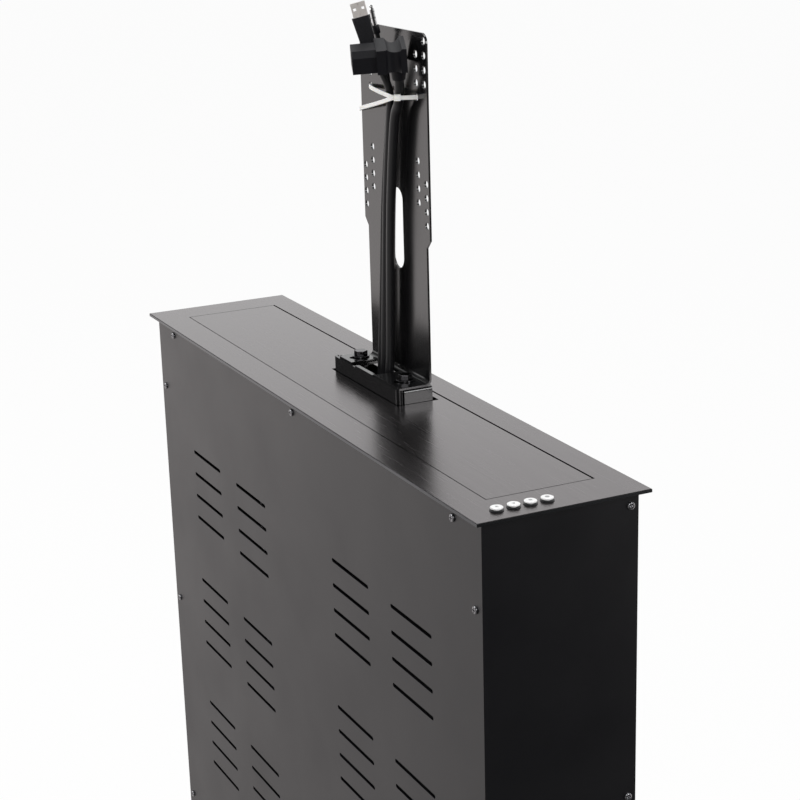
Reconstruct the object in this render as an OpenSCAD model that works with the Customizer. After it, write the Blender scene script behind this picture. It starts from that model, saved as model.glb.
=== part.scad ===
// TV lift: a monitor bracket rises out of a slim vented case on a belt-driven carriage.
// Millimetres, Z up. Origin at the centre of the case's bottom face, front of the case towards -Y.
// Drawn with the lift raised, as in use.

/* [Case] */
// Length of the case along X
case_l = 591; // [576:1:640]
// Depth of the case along Y
case_w = 113.6; // [110:0.2:124]
// Height of the case up to the underside of the top frame
case_h = 624; // [612:1:680]
// Thickness of the sheet-metal panels
sheet = 1.5; // [1.2:0.1:2]
// Height of the folded flanges that the panels are screwed to
flange = 20; // [17:1:22]
// Width of the side panels' front flange and of the rear posts
post_w = 15; // [13:1:16]

/* [Top frame] */
// Overhang of the top frame past the case ends
over_x = 6; // [5:0.5:15]
// Overhang of the top frame past the front and rear panels
over_y = 6.2; // [5:0.1:12]
// Thickness of the top frame
frame_t = 2; // [2:0.5:6]
// Bevel along the top frame's upper edge
frame_bevel = 0.4; // [0.3:0.1:1.5]
// Depth of the pocket under the top frame that takes the case
pocket = 0.4; // [0.3:0.1:1]
// Distance of the opening in the top frame from the case's left end
opening_left = 25.5; // [24:0.5:40]
// Distance of the opening from the case's right end, where the buttons stand
opening_right = 29.1; // [28:0.1:45]
// Length of the opening in the top frame
opening_l = case_l - opening_left - opening_right;
// Width of the opening in the top frame
opening_w = 80; // [76:0.5:81]
// Shift of the opening along X
opening_dx = (opening_left - opening_right) / 2;
// Shift of the opening along Y
opening_dy = 2.2; // [1.6:0.2:3]

/* [Cover] */
// Thickness of the rising cover panel
cover_t = 3; // [2:0.5:4]
// Gap between cover and top frame at the front and the ends
cover_gap = 0.7; // [0.5:0.1:1.2]
// Gap between cover and top frame at the rear
cover_rear_gap = 1.6; // [0.8:0.1:2]
// Gap between the cover's window and the foot at the front and right
window_tight = 0.7; // [0.5:0.1:1.5]
// Gap between the cover's window and the foot at the left
window_left = 2.6; // [2:0.2:10]
// Gap between the cover's window and the foot at the rear
window_rear = 6.6; // [2:0.2:7]
// Width of one of the profiles that carry the cover
cover_bracket_w = 40; // [30:1:60]
// Distance of those profiles' middles from the ends of an opening in the middle
cover_bracket_inset = 98.2; // [60:0.2:140]

/* [Vents] */
// Length of one vent slot
vent_l = 62; // [50:1:70]
// Height of one vent slot
vent_h = 3; // [2:0.5:4]
// Pitch of the slots in a group
vent_pitch = 19.8; // [16:0.2:20]
// Slots in a group
vent_count = 4; // [3:1:4]
// Pitch of the groups down the panel
group_pitch = 118; // [100:1:119]
// Groups down the panel
group_count = 4; // [2:1:4]
// First slot's distance below the top frame's face
vent_top = 106; // [90:1:110]
// Distance of the inner slot columns from the middle
vent_inner = 95; // [85:1:100]
// Distance of the outer slot columns from the middle
vent_outer = 193; // [180:1:205]

/* [Panel screws] */
// Diameter of the panel screws
screw_d = 3; // [2.5:0.5:3.5]
// Diameter of the screw heads
screw_head_d = 5.6; // [5:0.2:6.4]
// Distance of the top row of screws under the top frame
screw_row = 9; // [7:0.5:10]
// Distance of the outer screws of a row from the middle
screw_row_x = 258; // [240:1:262]
// Distance of the edge screws from the panel's edge
screw_edge = 8.7; // [7:0.1:9]
// Distance of the side panels' screws from the rear face
side_screw_edge = 6; // [5:0.5:7]
// Highest edge screw, below the case's top
edge_screw_drop = 61; // [50:1:80]
// Second edge screw, above the middle of the case
edge_screw_up = 50; // [30:1:70]
// Third edge screw, below the middle of the case
edge_screw_down = 150; // [120:1:170]

/* [Lift] */
// Travel of the carriage
stroke = 400; // [350:5:405]
// Diameter of the guide rods
rod_d = 12; // [10:0.5:12]
// Distance of the rods from the side panels' inner faces
rod_inset = 11.5; // [11:0.25:12]
// Position of the rods along Y
rod_y = 26; // [25:0.5:27]
// Wall of the guide bushes
bush_wall = 2.5; // [1.5:0.25:2.5]
// Depth of the carriage beam along Y
beam_w = 40; // [38:0.5:41]
// Height of the carriage beam
beam_h = 40; // [36:1:44]
// Sheet of the carriage beam
beam_t = 2; // [1.5:0.25:2.5]
// Drop from the top frame's face to the top of the beam
beam_drop = 30; // [28:0.5:32]
// Height of the bearing blocks
block_h = 58; // [54:1:62]
// Width of the bearing blocks along X
block_w = 20; // [19.5:0.5:21]
// Height of the rod holders
holder_h = 16; // [12:1:18]
// Running clearance of a shaft in its bore
run_fit = 0.06; // [0.04:0.01:0.08]
// Seat clearance of a fixed piece in its hole
seat_fit = 0.05; // [0.03:0.01:0.1]

/* [Drive] */
// Position of the belts and of the cross shaft along Y
belt_y = -12; // [-14:0.5:-11.5]
// Tooth-tip diameter of the belt pulleys
pulley_d = 24; // [22:0.5:24]
// Teeth on a belt pulley
pulley_teeth = 16; // [14:1:18]
// Width of the belts
belt_w = 9; // [7:0.5:9]
// Thickness of the belts
belt_t = 2; // [1.5:0.1:2]
// Gap kept between a belt and what runs past it
belt_gap = 0.4; // [0.3:0.05:0.5]
// Diameter of the cross shaft
shaft_d = 10; // [8:0.5:10]
// Height of the cross shaft
shaft_z = 62; // [60:0.5:66]
// Drop from the top frame's face to the idler axles
idler_drop = 40; // [39:0.5:44]
// Diameter of the idler axles
axle_d = 8; // [6:0.5:9]
// Module of the gear pair
gear_m = 1; // [0.9:0.05:1]
// Teeth on the shaft gear
gear_teeth = 40; // [36:2:40]
// Teeth on the motor pinion
pinion_teeth = 16; // [14:1:17]
// Face width of the gears
gear_w = 8; // [6:0.5:9]
// Position of the gears along X
gear_x = -148; // [-160:1:-140]
// Play left between the teeth
backlash = 0.3; // [0.2:0.05:0.4]
// Diameter of the gear motor
motor_d = 36; // [30:1:37]
// Length of the gear motor
motor_l = 96; // [80:1:110]
// Diameter of the motor's output shaft
motor_shaft_d = 6; // [5:0.5:7]
// Reach of the motor bracket in front of the cross shaft
motor_front = 16; // [14:0.5:18]
// Length of the motor bracket's foot
motor_foot = 40; // [30:1:50]

/* [Control] */
// Length of the control box
control_l = 140; // [100:1:160]
// Depth of the control box
control_w = 76; // [60:1:80]
// Height of the control box with its lid
control_h = 40; // [30:1:44]
// Position of the control box along X
control_x = 130; // [110:1:150]
// Distance of the power inlet's centre above the bottom
inlet_z = 84; // [76:1:100]
// Distance of the limit sensors from the carriage beam's left end
sensor_inset = 91.5; // [40:0.5:120]
// Width of a limit sensor
sensor_w = 12; // [8:0.5:16]
// Height of a limit sensor
sensor_h = 20; // [14:1:24]

/* [Foot] */
// Length of the foot channel
foot_l = 113.4; // [104:0.2:116]
// Depth of the foot channel
foot_w = 28.4; // [27:0.2:30]
// Middle of the foot along X
foot_x = 2.3; // [0:0.1:7]
// Front face of the foot along Y
foot_front = 2.5; // [2:0.5:4]
// Height of the foot above the cover
foot_rise = 11.5; // [10:0.5:14]
// Sheet of the foot
foot_t = 2; // [1.5:0.25:2.5]
// Length of the foot's top tabs
foot_tab = 33; // [31:0.5:34]
// Bend radius at the foot's front corners
foot_bend = 4; // [3:0.5:5]
// Fold radius between the foot's ends and its tabs
foot_fold = 3; // [2.6:0.2:4]
// Width of the relief seams beside the foot's ends
foot_seam = 1.6; // [1:0.2:2]
// Length of the raised hem on the foot's front edge
hem_l = 30; // [20:1:34]
// Middle of the hem along X
hem_x = 1; // [0:0.5:2]
// Height of the hem
hem_h = 1.4; // [1:0.1:2]

/* [Monitor bracket] */
// Middle of the bracket along X
bracket_x = 11.4; // [11:0.1:14]
// Front face of the bracket along Y
bracket_y = 28.4; // [27.6:0.1:28.8]
// Sheet of the bracket
bracket_t = 1.5; // [1.2:0.1:2]
// Outer radius of the bend between plate and flange
bracket_bend = 5; // [4:0.5:6]
// Width of the bracket's upper part
bracket_w = 108.4; // [107:0.2:120]
// Width of the bracket's lower part
bracket_low_w = 97.2; // [96:0.2:104]
// Top edge above the top frame's face
bracket_top = 265.7; // [264:0.1:275]
// Height of the step between the two widths
bracket_step = 118; // [112:1:120]
// Outer hole pattern's side
vesa_outer = 100; // [100:1:100]
// Inner hole pattern's side
vesa_inner = 75; // [75:1:75]
// Diameter of the monitor's screw holes
vesa_hole_d = 5.6; // [4.5:0.1:5.8]
// Pitch of the holes down a column
vesa_pitch = 10; // [9:0.5:10]
// Holes in a column
vesa_count = 4; // [2:1:4]
// Highest hole above the top frame's face
vesa_top = 260.3; // [255:0.1:260.3]
// Length of the cable slot
slot_l = 60; // [40:1:64]
// Width of the cable slot
slot_w = 17.4; // [10:0.1:18]
// Middle of the cable slot above the top frame's face
slot_z = 121; // [118:1:124]
// Bolt diameter at the foot
bolt_d = 6; // [5:0.5:6]
// Distance between the two foot bolts
bolt_span = 77; // [74:0.5:79]
// Middle between the two foot bolts along X
bolt_mid = 4; // [3:0.5:5]
// Distance of the flange's left end from the foot's left end
tab_inset = 9.6; // [8:0.2:12]
// Left edge of the notch for the cords in the flange
notch_x0 = -23.4; // [-24:0.2:-22]
// Right edge of the notch for the cords in the flange
notch_x1 = 17; // [16.6:0.2:24]
// Length of the adjusting slots in the flange
adjust_l = 16; // [12:0.5:17]

/* [Buttons] */
// Diameter of the button caps
button_d = 8.4; // [7.4:0.1:9]
// Travel of the buttons
button_travel = 1; // [0.6:0.1:1.2]
// Pitch of the buttons
button_pitch = 12; // [11:0.1:12.4]
// Distance of the buttons from the case end
button_inset = 9; // [6.3:0.1:10]
// Position of the button nearest the front
button_y = -41; // [-42:0.5:-40]

/* [Cords] */
// Diameter of the power cord
power_d = 7; // [6:0.1:7.2]
// Diameter of the video cord
video_d = 5.5; // [4:0.1:5.6]
// Diameter of the audio cord
audio_d = 3.5; // [3:0.1:3.6]
// Play of a cord in its hole
cord_play = 0.4; // [0.3:0.1:0.6]
// Junction box, left and right of the middle
box_left = 30; // [24:1:34]
box_right = 34; // [28:1:38]
// Height of the junction box
box_h = 26; // [20:1:30]
// How far the cable tie's tail falls to the bracket's edge
tie_fall = 19; // [14:1:24]
// Width of the cable tie
tie_w = 3.6; // [2.5:0.1:3.8]
// Thickness of the cable tie
tie_t = 1.2; // [0.9:0.1:1.3]

/* [Hidden] */
$fn = 48;
eps = 0.01;

// Case
in_x = case_l / 2 - sheet;
in_y = case_w / 2 - sheet;
top_z = case_h + frame_t;
open_x0 = opening_dx - opening_l / 2;
open_x1 = opening_dx + opening_l / 2;
open_y0 = opening_dy - opening_w / 2;
open_y1 = opening_dy + opening_w / 2;
ring_margin = 1.8;
pocket_gap = 0.3;
edge_x = case_l / 2 - screw_edge;
side_y = case_w / 2 - side_screw_edge;
edge_zs = [case_h - edge_screw_drop, case_h / 2 + edge_screw_up, case_h / 2 - edge_screw_down];
side_zs = [case_h - screw_row, case_h * 0.655, case_h * 0.335, screw_row];
front_screws = [
    for (x = [-screw_row_x, 0, screw_row_x], z = [screw_row, case_h - screw_row]) [x, z],
    for (x = [-edge_x, edge_x], z = edge_zs) [x, z]
];

// Lift
rod_x = in_x - rod_inset;
bush_r = rod_d / 2 + bush_wall;
beam_y0 = rod_y - beam_w / 2;
beam_y1 = rod_y + beam_w / 2;
beam_z = top_z - beam_drop;
beam_end = in_x - 2.5;
block_x = rod_x - 1;
block_z0 = beam_z - beam_t - block_h;
block_y0 = beam_y0 + beam_t;
block_y1 = beam_y1 - beam_t;

// Drive
pulley_r = pulley_d / 2;
belt_in = pulley_r + belt_gap;
belt_out = belt_in + belt_t;
pulley_flange_r = belt_out + 1.2;
pulley_w = belt_w + 3;
belt_x = rod_x;
idler_z = top_z - idler_drop;
belt_run_y = belt_y + (belt_in + belt_out) / 2;
gear_r = gear_m * gear_teeth / 2;
pinion_r = gear_m * pinion_teeth / 2;
motor_y = belt_y + gear_r + pinion_r + 0.1;
motor_plate_x = gear_x + gear_w / 2 + 4;
motor_plate_t = 3;
base_t = 2;
stand_x = rod_x - 22;
stand_t = 8;
shaft_bush_r = shaft_d / 2 + 2.5;
axle_plate_t = 2;

// Foot and bracket
foot_x0 = foot_x - foot_l / 2;
foot_x1 = foot_x + foot_l / 2;
foot_y1 = foot_front + foot_w;
foot_top = top_z + foot_rise;
bolt_y = 17;
bolt_x0 = bolt_mid - bolt_span / 2;
bolt_x1 = bolt_mid + bolt_span / 2;
tab_x0 = foot_x0 + tab_inset;
low_x0 = bracket_x - bracket_low_w / 2;
low_x1 = bracket_x + bracket_low_w / 2;
bracket_z0 = foot_top;
slot_x = bracket_x + 2.4;
tie_z = top_z + vesa_top - 4 * vesa_pitch;
tie_front = [[43, 14.8], [36.5, 14.8], [21.5, 17.1]];
tie_head = [45.6, 15.2];

// Cords: points along each route, measured up from the top frame's face
power_route = [
    [9, 18, -38], [9, 18, -8], [12, 19.6, 20], [14, 20.6, 70], [19, 20.8, 140], [28.5, 20.6, 200],
    [37, 20.3, 216], [42.4, 18.7, 228.4], [44.1, 17.4, 238.7], [44.8, 16.9, 242.6]
];
video_route = [
    [-1, 19, -38], [-1, 19, -8], [1, 20, 20], [4, 21, 70], [9.5, 21.5, 140], [18.5, 21.5, 200],
    [21.5, 21.3, 220], [20, 17, 234], [16.2, 12, 244], [14.9, 9.8, 250.4], [13.7, 8.1, 258.8]
];
audio_route = [
    [-9, 20, -38], [-9, 20, -8], [-8, 21, 20], [-5, 22.5, 70], [1.5, 23, 140], [12.5, 23, 200],
    [14.2, 23.8, 222], [9.4, 24, 240], [6.2, 22.6, 250], [5.4, 21.1, 256.5], [5.5, 19.4, 264.4]
];
connector_at = [48.4, 21.3, 250.7];
connector_turn = [-11.8, 3, -112.5];
video_plug_at = [14.2, 8.8, 255.3];
video_plug_to = [10.2, 3, 284.3];
video_plug_spin = 11;
audio_plug_at = [5.4, 20.6, 259];
audio_plug_to = [5.7, 15.6, 281.7];

// Points of an involute tooth flank from the base circle out to the tip
function flank(base_r, tip_r, steps) = [
    for (i = [0 : steps])
        let (t = sqrt(pow(tip_r / base_r, 2) - 1) * i / steps)
        [base_r * sqrt(1 + t * t), t * 180 / PI - atan(t)]
];

// Outline of a spur gear with its teeth thinned for backlash
function gear_outline(m, teeth, play) =
    let (
        r = m * teeth / 2,
        base_r = r * cos(20),
        root_r = r - 1.25 * m,
        pts = flank(base_r, r + m, 5),
        at_pitch = tan(20) * 180 / PI - 20,
        half = 90 / teeth + at_pitch - play / (2 * r) * 180 / PI,
        step = 360 / teeth
    )
    [
        for (k = [0 : teeth - 1]) each concat(
            [[min(root_r, base_r - eps), k * step - half]],
            [for (q = pts) [q[0], k * step - half + q[1]]],
            [for (i = [len(pts) - 1 : -1 : 0]) [pts[i][0], k * step + half - pts[i][1]]],
            [[min(root_r, base_r - eps), k * step + half]]
        )
    ];

// Points of a smooth curve through the points of a route
function smooth(p, steps) = [
    for (i = [0 : len(p) - 2])
        let (a = p[max(i - 1, 0)], b = p[i], c = p[i + 1], d = p[min(i + 2, len(p) - 1)])
        for (k = [0 : steps - 1])
            let (t = k / steps)
            0.5 * (2 * b + (c - a) * t + (2 * a - 5 * b + 4 * c - d) * t * t
                + (3 * b - a - 3 * c + d) * t * t * t),
    p[len(p) - 1]
];

function unit(v) = v / norm(v);

// A round cord along a route given up from the top frame's face
module cord(route, d) {
    thin = d < 4;
    sides = thin ? 8 : 12;
    p = [for (q = smooth(route, thin ? 3 : 2)) q + [0, 0, top_z]];
    n = len(p);
    rings = [
        for (i = [0 : n - 1])
            let (
                along = unit(p[min(i + 1, n - 1)] - p[max(i - 1, 0)]),
                across = unit(cross(along, [1, 0, 0])),
                third = cross(along, across)
            )
            for (k = [0 : sides - 1])
                p[i] + d / 2 * (cos(360 * k / sides) * across + sin(360 * k / sides) * third)
    ];
    faces = [
        [for (k = [0 : sides - 1]) k],
        for (i = [0 : n - 2], k = [0 : sides - 1])
            let (a = i * sides, b = a + sides, next = (k + 1) % sides)
            [a + k, b + k, b + next, a + next],
        [for (k = [sides - 1 : -1 : 0]) (n - 1) * sides + k]
    ];
    polyhedron(rings, faces);
}

// A box between two corners
module span(a, b) {
    translate(a) cube(b - a);
}

// A cylinder along X from x0 to x1
module bar_x(d, x0, x1, y, z) {
    translate([x0, y, z]) rotate([0, 90, 0]) cylinder(d = d, h = x1 - x0);
}

// A flat outline in X and Z, given a thickness towards +Y from y
module upright(y, t) {
    translate([0, y + t, 0]) rotate([90, 0, 0]) linear_extrude(t) children();
}

// A slot with round ends, long along X
module slot2d(l, w) {
    square([l - w, w], center = true);
    for (s = [-1, 1]) translate([s * (l - w) / 2, 0]) circle(d = w);
}

// A rectangle with rounded corners between two corners
module round_rect(a, b, r) {
    translate([a[0] + r, a[1]]) square([b[0] - a[0] - 2 * r, b[1] - a[1]]);
    translate([a[0], a[1] + r]) square([b[0] - a[0], b[1] - a[1] - 2 * r]);
    for (x = [a[0] + r, b[0] - r], y = [a[1] + r, b[1] - r]) translate([x, y]) circle(r = r);
}

// Turns a child from +Z to the direction from a to b and moves it to a
module aim(a, b) {
    d = b - a;
    translate(a) rotate([0, acos(d[2] / norm(d)), atan2(d[1], d[0])]) children();
}

// Case pieces

module vent_slots2d() {
    for (c = [-vent_outer, -vent_inner, vent_inner, vent_outer])
        for (g = [0 : group_count - 1], i = [0 : vent_count - 1])
            translate([c, top_z - vent_top - g * group_pitch - i * vent_pitch]) slot2d(vent_l, vent_h);
}

module screw_holes2d(places) {
    for (p = places) translate(p) circle(d = screw_d + 2 * seat_fit);
}

module top_frame() {
    l = case_l + 2 * over_x;
    w = case_w + 2 * over_y;
    k = frame_bevel * sqrt(2);
    color("#8f8b8b") difference() {
        span([-l / 2, -w / 2, case_h - pocket], [l / 2, w / 2, top_z]);
        span([-case_l / 2 - pocket_gap, -case_w / 2 - pocket_gap, case_h - pocket - 1],
            [case_l / 2 + pocket_gap, case_w / 2 + pocket_gap, case_h]);
        span([open_x0, open_y0, case_h - 1], [open_x1, open_y1, top_z + 1]);
        for (s = [-1, 1]) {
            translate([0, s * w / 2, top_z]) rotate([45, 0, 0]) cube([l + 2, k, k], center = true);
            translate([s * l / 2, 0, top_z]) rotate([0, 45, 0]) cube([k, w + 2, k], center = true);
        }
        for (i = [0 : 3]) translate([button_x, button_y + i * button_pitch, case_h - 1])
            cylinder(r = barrel_r + seat_fit, h = frame_t + 2);
    }
}

module top_subframe() {
    color("#3b3a3c") difference() {
        span([-in_x, -in_y, case_h - flange], [in_x, in_y, case_h]);
        span([-in_x + sheet, -in_y + sheet, case_h - flange - 1],
            [in_x - sheet, in_y - sheet, case_h - sheet]);
        span([open_x0 - ring_margin, open_y0 - ring_margin, case_h - sheet - 1],
            [open_x1 + ring_margin, open_y1 + ring_margin, case_h + 1]);
        upright(-in_y - 1, 2 * in_y + 2) screw_holes2d(front_screws);
        side_screw_bores();
        for (i = [0 : 3]) translate([button_x, button_y + i * button_pitch, case_h - sheet - 1])
            cylinder(r = barrel_r + 0.4, h = sheet + 2);
    }
}

module front_panel() {
    color("#565253") upright(-case_w / 2, sheet) difference() {
        translate([-case_l / 2, 0]) square([case_l, case_h]);
        vent_slots2d();
        screw_holes2d(front_screws);
    }
}

module rear_panel() {
    color("#565253") upright(in_y, sheet) difference() {
        translate([-in_x, 0]) square([2 * in_x, case_h]);
        screw_holes2d(front_screws);
        translate([control_x, inlet_z])
            square([inlet_l + 2 * seat_fit, inlet_h + 2 * seat_fit], center = true);
    }
}

// Bores through both side panels for the screws at their rear edges
module side_screw_bores() {
    for (z = side_zs) bar_x(screw_d + 2 * seat_fit, -case_l / 2 - 1, case_l / 2 + 1, side_y, z);
}

module right_side() {
    difference() {
        union() {
            span([in_x, -in_y, 0], [case_l / 2, case_w / 2, case_h]);
            span([in_x - post_w, -in_y, flange], [in_x, -in_y + sheet, case_h - flange]);
        }
        side_screw_bores();
        upright(-case_w / 2, 3 * sheet) screw_holes2d(front_screws);
    }
}

module right_side_panel() {
    color("#1b1a1e") right_side();
}

module left_side_panel() {
    color("#1b1a1e") mirror([1, 0, 0]) right_side();
}

module rear_posts() {
    color("#3b3a3c") for (s = [0, 1]) mirror([s, 0, 0]) difference() {
        union() {
            span([in_x - sheet, in_y - post_w, flange], [in_x, in_y, case_h - flange]);
            span([in_x - post_w, in_y - sheet, flange], [in_x, in_y, case_h - flange]);
        }
        side_screw_bores();
        upright(in_y - 2 * sheet, 3 * sheet) screw_holes2d(front_screws);
    }
}

module bottom_plate() {
    color("#3b3a3c") difference() {
        span([-in_x, -in_y, 0], [in_x, in_y, flange]);
        span([-in_x + sheet, -in_y + sheet, base_t], [in_x - sheet, in_y - sheet, flange + 1]);
        upright(-in_y - 1, 2 * in_y + 2) screw_holes2d(front_screws);
        side_screw_bores();
    }
}

// Pan-head screw along +Z with a cross recess, its head standing on z = 0
module pan_screw() {
    r = screw_head_d / 2;
    difference() {
        union() {
            rotate_extrude() polygon([
                [0, 0], [r, 0], [r, 0.5],
                for (a = [15 : 15 : 90]) [r - 1.1 + 1.1 * cos(a), 0.5 + 1.1 * sin(a)], [0, 1.6]
            ]);
            translate([0, 0, -2 * sheet - 2]) cylinder(d = screw_d, h = 2 * sheet + 2 + eps);
        }
        for (a = [0, 90]) rotate(a) translate([0, 0, 1.4])
            cube([screw_head_d * 0.62, 0.7, 1.4], center = true);
    }
}

module panel_screws() {
    color("#2a292c") {
        for (p = front_screws) {
            translate([p[0], -case_w / 2, p[1]]) rotate([90, 0, 0]) pan_screw();
            translate([p[0], case_w / 2, p[1]]) rotate([-90, 0, 0]) pan_screw();
        }
        for (s = [-1, 1], z = side_zs)
            translate([s * case_l / 2, side_y, z]) rotate([0, s * 90, 0]) pan_screw();
    }
}

// Guides

module guide_rod(x) {
    translate([x, rod_y, base_t]) cylinder(d = rod_d, h = case_h - sheet - base_t);
}

module left_guide_rod() {
    color("#c9ccd0") guide_rod(-rod_x);
}

module right_guide_rod() {
    color("#c9ccd0") guide_rod(rod_x);
}

// Split clamp that holds one end of a rod, standing on z = 0
module rod_holder() {
    w = rod_d + 5;
    difference() {
        union() {
            translate([-w / 2, -w / 2, 0]) cube([w, w, holder_h]);
            translate([-w / 2, w / 2 - eps, 0]) cube([w, 7, 4]);
        }
        translate([0, 0, -1]) cylinder(d = rod_d + 2 * seat_fit, h = holder_h + 2);
        translate([-0.75, -w / 2 - 1, -1]) cube([1.5, w / 2 + 1, holder_h + 2]);
        translate([0, w / 2 + 3.5, -1]) cylinder(d = 4.2, h = 6);
    }
}

module upper_rod_holders() {
    color("#8d9094") for (s = [-1, 1])
        translate([s * rod_x, rod_y, case_h - sheet]) mirror([0, 0, 1]) rod_holder();
}

module lower_rod_holders() {
    color("#8d9094") for (s = [-1, 1]) translate([s * rod_x, rod_y, base_t]) rod_holder();
}

// Belt drive

axle_half = 13;

// Plate with a cantilever pin for the right-hand idler, spot-welded to the side panel
module idler_axle() {
    pin_end = belt_x - pulley_w / 2 - 2;
    span([in_x - axle_plate_t, belt_y - axle_half, idler_z - axle_half],
        [in_x, belt_y + axle_half, idler_z + axle_half]);
    bar_x(axle_d, pin_end, in_x - eps, belt_y, idler_z);
    bar_x(axle_d + 4, belt_x + pulley_w / 2 + 0.4, in_x - eps, belt_y, idler_z);
    bar_x(axle_d + 4, pin_end, pin_end + 1.4, belt_y, idler_z);
}

module right_idler_axle() {
    color("#9a9da2") idler_axle();
}

module left_idler_axle() {
    color("#9a9da2") mirror([1, 0, 0]) idler_axle();
}

// Toothed pulley with flanges, axis along X, middle at x
module belt_pulley(x, z, bore) {
    half = pulley_w / 2;
    groove = PI * pulley_d / pulley_teeth * 0.5;
    translate([x, belt_y, z]) rotate([0, 90, 0]) difference() {
        union() {
            translate([0, 0, -half]) cylinder(r = pulley_r, h = pulley_w);
            for (s = [-half, half - 1]) translate([0, 0, s]) cylinder(r = pulley_flange_r, h = 1);
        }
        translate([0, 0, -half - 1]) cylinder(d = bore, h = pulley_w + 2);
        for (k = [0 : pulley_teeth - 1]) rotate(360 * k / pulley_teeth)
            translate([pulley_r, 0, 0]) cube([3, groove, pulley_w - 2.02], center = true);
    }
}

module left_drive_pulley() {
    color("#b9bcc1") belt_pulley(-belt_x, shaft_z, shaft_d + 2 * seat_fit);
}

module right_drive_pulley() {
    color("#b9bcc1") belt_pulley(belt_x, shaft_z, shaft_d + 2 * seat_fit);
}

module left_idler_pulley() {
    color("#b9bcc1") belt_pulley(-belt_x, idler_z, axle_d + 2 * run_fit);
}

module right_idler_pulley() {
    color("#b9bcc1") belt_pulley(belt_x, idler_z, axle_d + 2 * run_fit);
}

module loop2d(r, h) {
    translate([-h, -r]) square([h, 2 * r]);
    for (x = [-h, 0]) translate([x, 0]) circle(r = r);
}

module drive_belt(x) {
    translate([x - belt_w / 2, belt_y, shaft_z]) rotate([0, 90, 0]) linear_extrude(belt_w) difference() {
        loop2d(belt_out, idler_z - shaft_z);
        loop2d(belt_in, idler_z - shaft_z);
    }
}

module left_drive_belt() {
    color("#202022") drive_belt(-belt_x);
}

module right_drive_belt() {
    color("#202022") drive_belt(belt_x);
}

// Pedestal for one end of the cross shaft
module shaft_stand(x) {
    half = shaft_bush_r + 5;
    color("#8d9094") difference() {
        union() {
            span([x - stand_t / 2, belt_y - half, base_t], [x + stand_t / 2, belt_y + half, shaft_z]);
            bar_x(2 * half, x - stand_t / 2, x + stand_t / 2, belt_y, shaft_z);
            span([x - 12, belt_y - half - 8, base_t], [x + 12, belt_y + half + 8, base_t + 4]);
        }
        bar_x(2 * (shaft_bush_r + seat_fit), x - stand_t, x + stand_t, belt_y, shaft_z);
        for (s = [-1, 1]) translate([x, belt_y + s * (half + 4), base_t - 1]) cylinder(d = 4.2, h = 6);
    }
}

module left_shaft_stand() {
    shaft_stand(-stand_x);
}

module right_shaft_stand() {
    shaft_stand(stand_x);
}

module shaft_bushes() {
    color("#b08d57") for (x = [-stand_x, stand_x]) difference() {
        union() {
            bar_x(2 * shaft_bush_r, x - stand_t / 2, x + stand_t / 2, belt_y, shaft_z);
            bar_x(2 * shaft_bush_r + 4, x - stand_t / 2 - 1.5, x - stand_t / 2, belt_y, shaft_z);
        }
        bar_x(shaft_d + 2 * run_fit, x - stand_t, x + stand_t, belt_y, shaft_z);
    }
}

module cross_shaft() {
    end = belt_x + pulley_w / 2 + 1;
    color("#c9ccd0") bar_x(shaft_d, -end, end, belt_y, shaft_z);
}

// Spur gear blank along X with involute teeth, a tooth at `turn` degrees from the tool's X
module spur_gear(teeth, turn, y, x0, w) {
    outline = gear_outline(gear_m, teeth, backlash);
    translate([x0, y, shaft_z]) rotate([0, 90, 0]) rotate(turn) linear_extrude(w)
        polygon([for (q = outline) q[0] * [cos(q[1]), sin(q[1])]]);
}

module shaft_gear() {
    x0 = gear_x - gear_w / 2;
    color("#d8d3c4") difference() {
        union() {
            spur_gear(gear_teeth, 90 + 180 / gear_teeth, belt_y, x0, gear_w);
            bar_x(shaft_d + 12, x0 - 8, x0 + eps, belt_y, shaft_z);
        }
        bar_x(shaft_d + 2 * seat_fit, x0 - 10, x0 + gear_w + 1, belt_y, shaft_z);
        for (k = [0 : 5]) translate([x0 - 1, belt_y, shaft_z]) rotate([60 * k, 0, 0])
            translate([0, 0.67 * gear_r, 0]) rotate([0, 90, 0]) cylinder(d = 0.25 * gear_r, h = gear_w + 2);
    }
}

motor_seat = 16;

module motor_pinion() {
    x0 = gear_x - gear_w / 2 - 0.5;
    color("#c2c5ca") {
        spur_gear(pinion_teeth, 270, motor_y, x0, gear_w + 1);
        bar_x(motor_shaft_d, x0 + gear_w, motor_plate_x + motor_plate_t + motor_seat - 1, motor_y, shaft_z);
    }
}

module motor_bracket() {
    y0 = belt_y - motor_front;
    y1 = motor_y + motor_d / 2 + 3;
    x1 = motor_plate_x + motor_plate_t;
    color("#5a5c60") difference() {
        union() {
            span([motor_plate_x, y0, base_t], [x1, y1, shaft_z + motor_d / 2 + 3]);
            span([motor_plate_x, y0, base_t], [x1 + motor_foot, y1, base_t + 3]);
        }
        bar_x(shaft_d + 4, motor_plate_x - 1, x1 + 1, belt_y, shaft_z);
        bar_x(motor_boss_d + 2 * seat_fit, motor_plate_x - 1, x1 + 1, motor_y, shaft_z);
        for (a = [60 : 60 : 300]) translate([motor_plate_x - 1, motor_y, shaft_z]) rotate([a - 90, 0, 0])
            translate([0, motor_d / 2 - 4.5, 0]) rotate([0, 90, 0]) cylinder(d = 3.2, h = motor_plate_t + 2);
        for (y = [y0 + 8, y1 - 8]) translate([x1 + motor_foot - 12, y, base_t - 1]) cylinder(d = 4.2, h = 6);
    }
}

motor_boss_d = 12;

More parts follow.
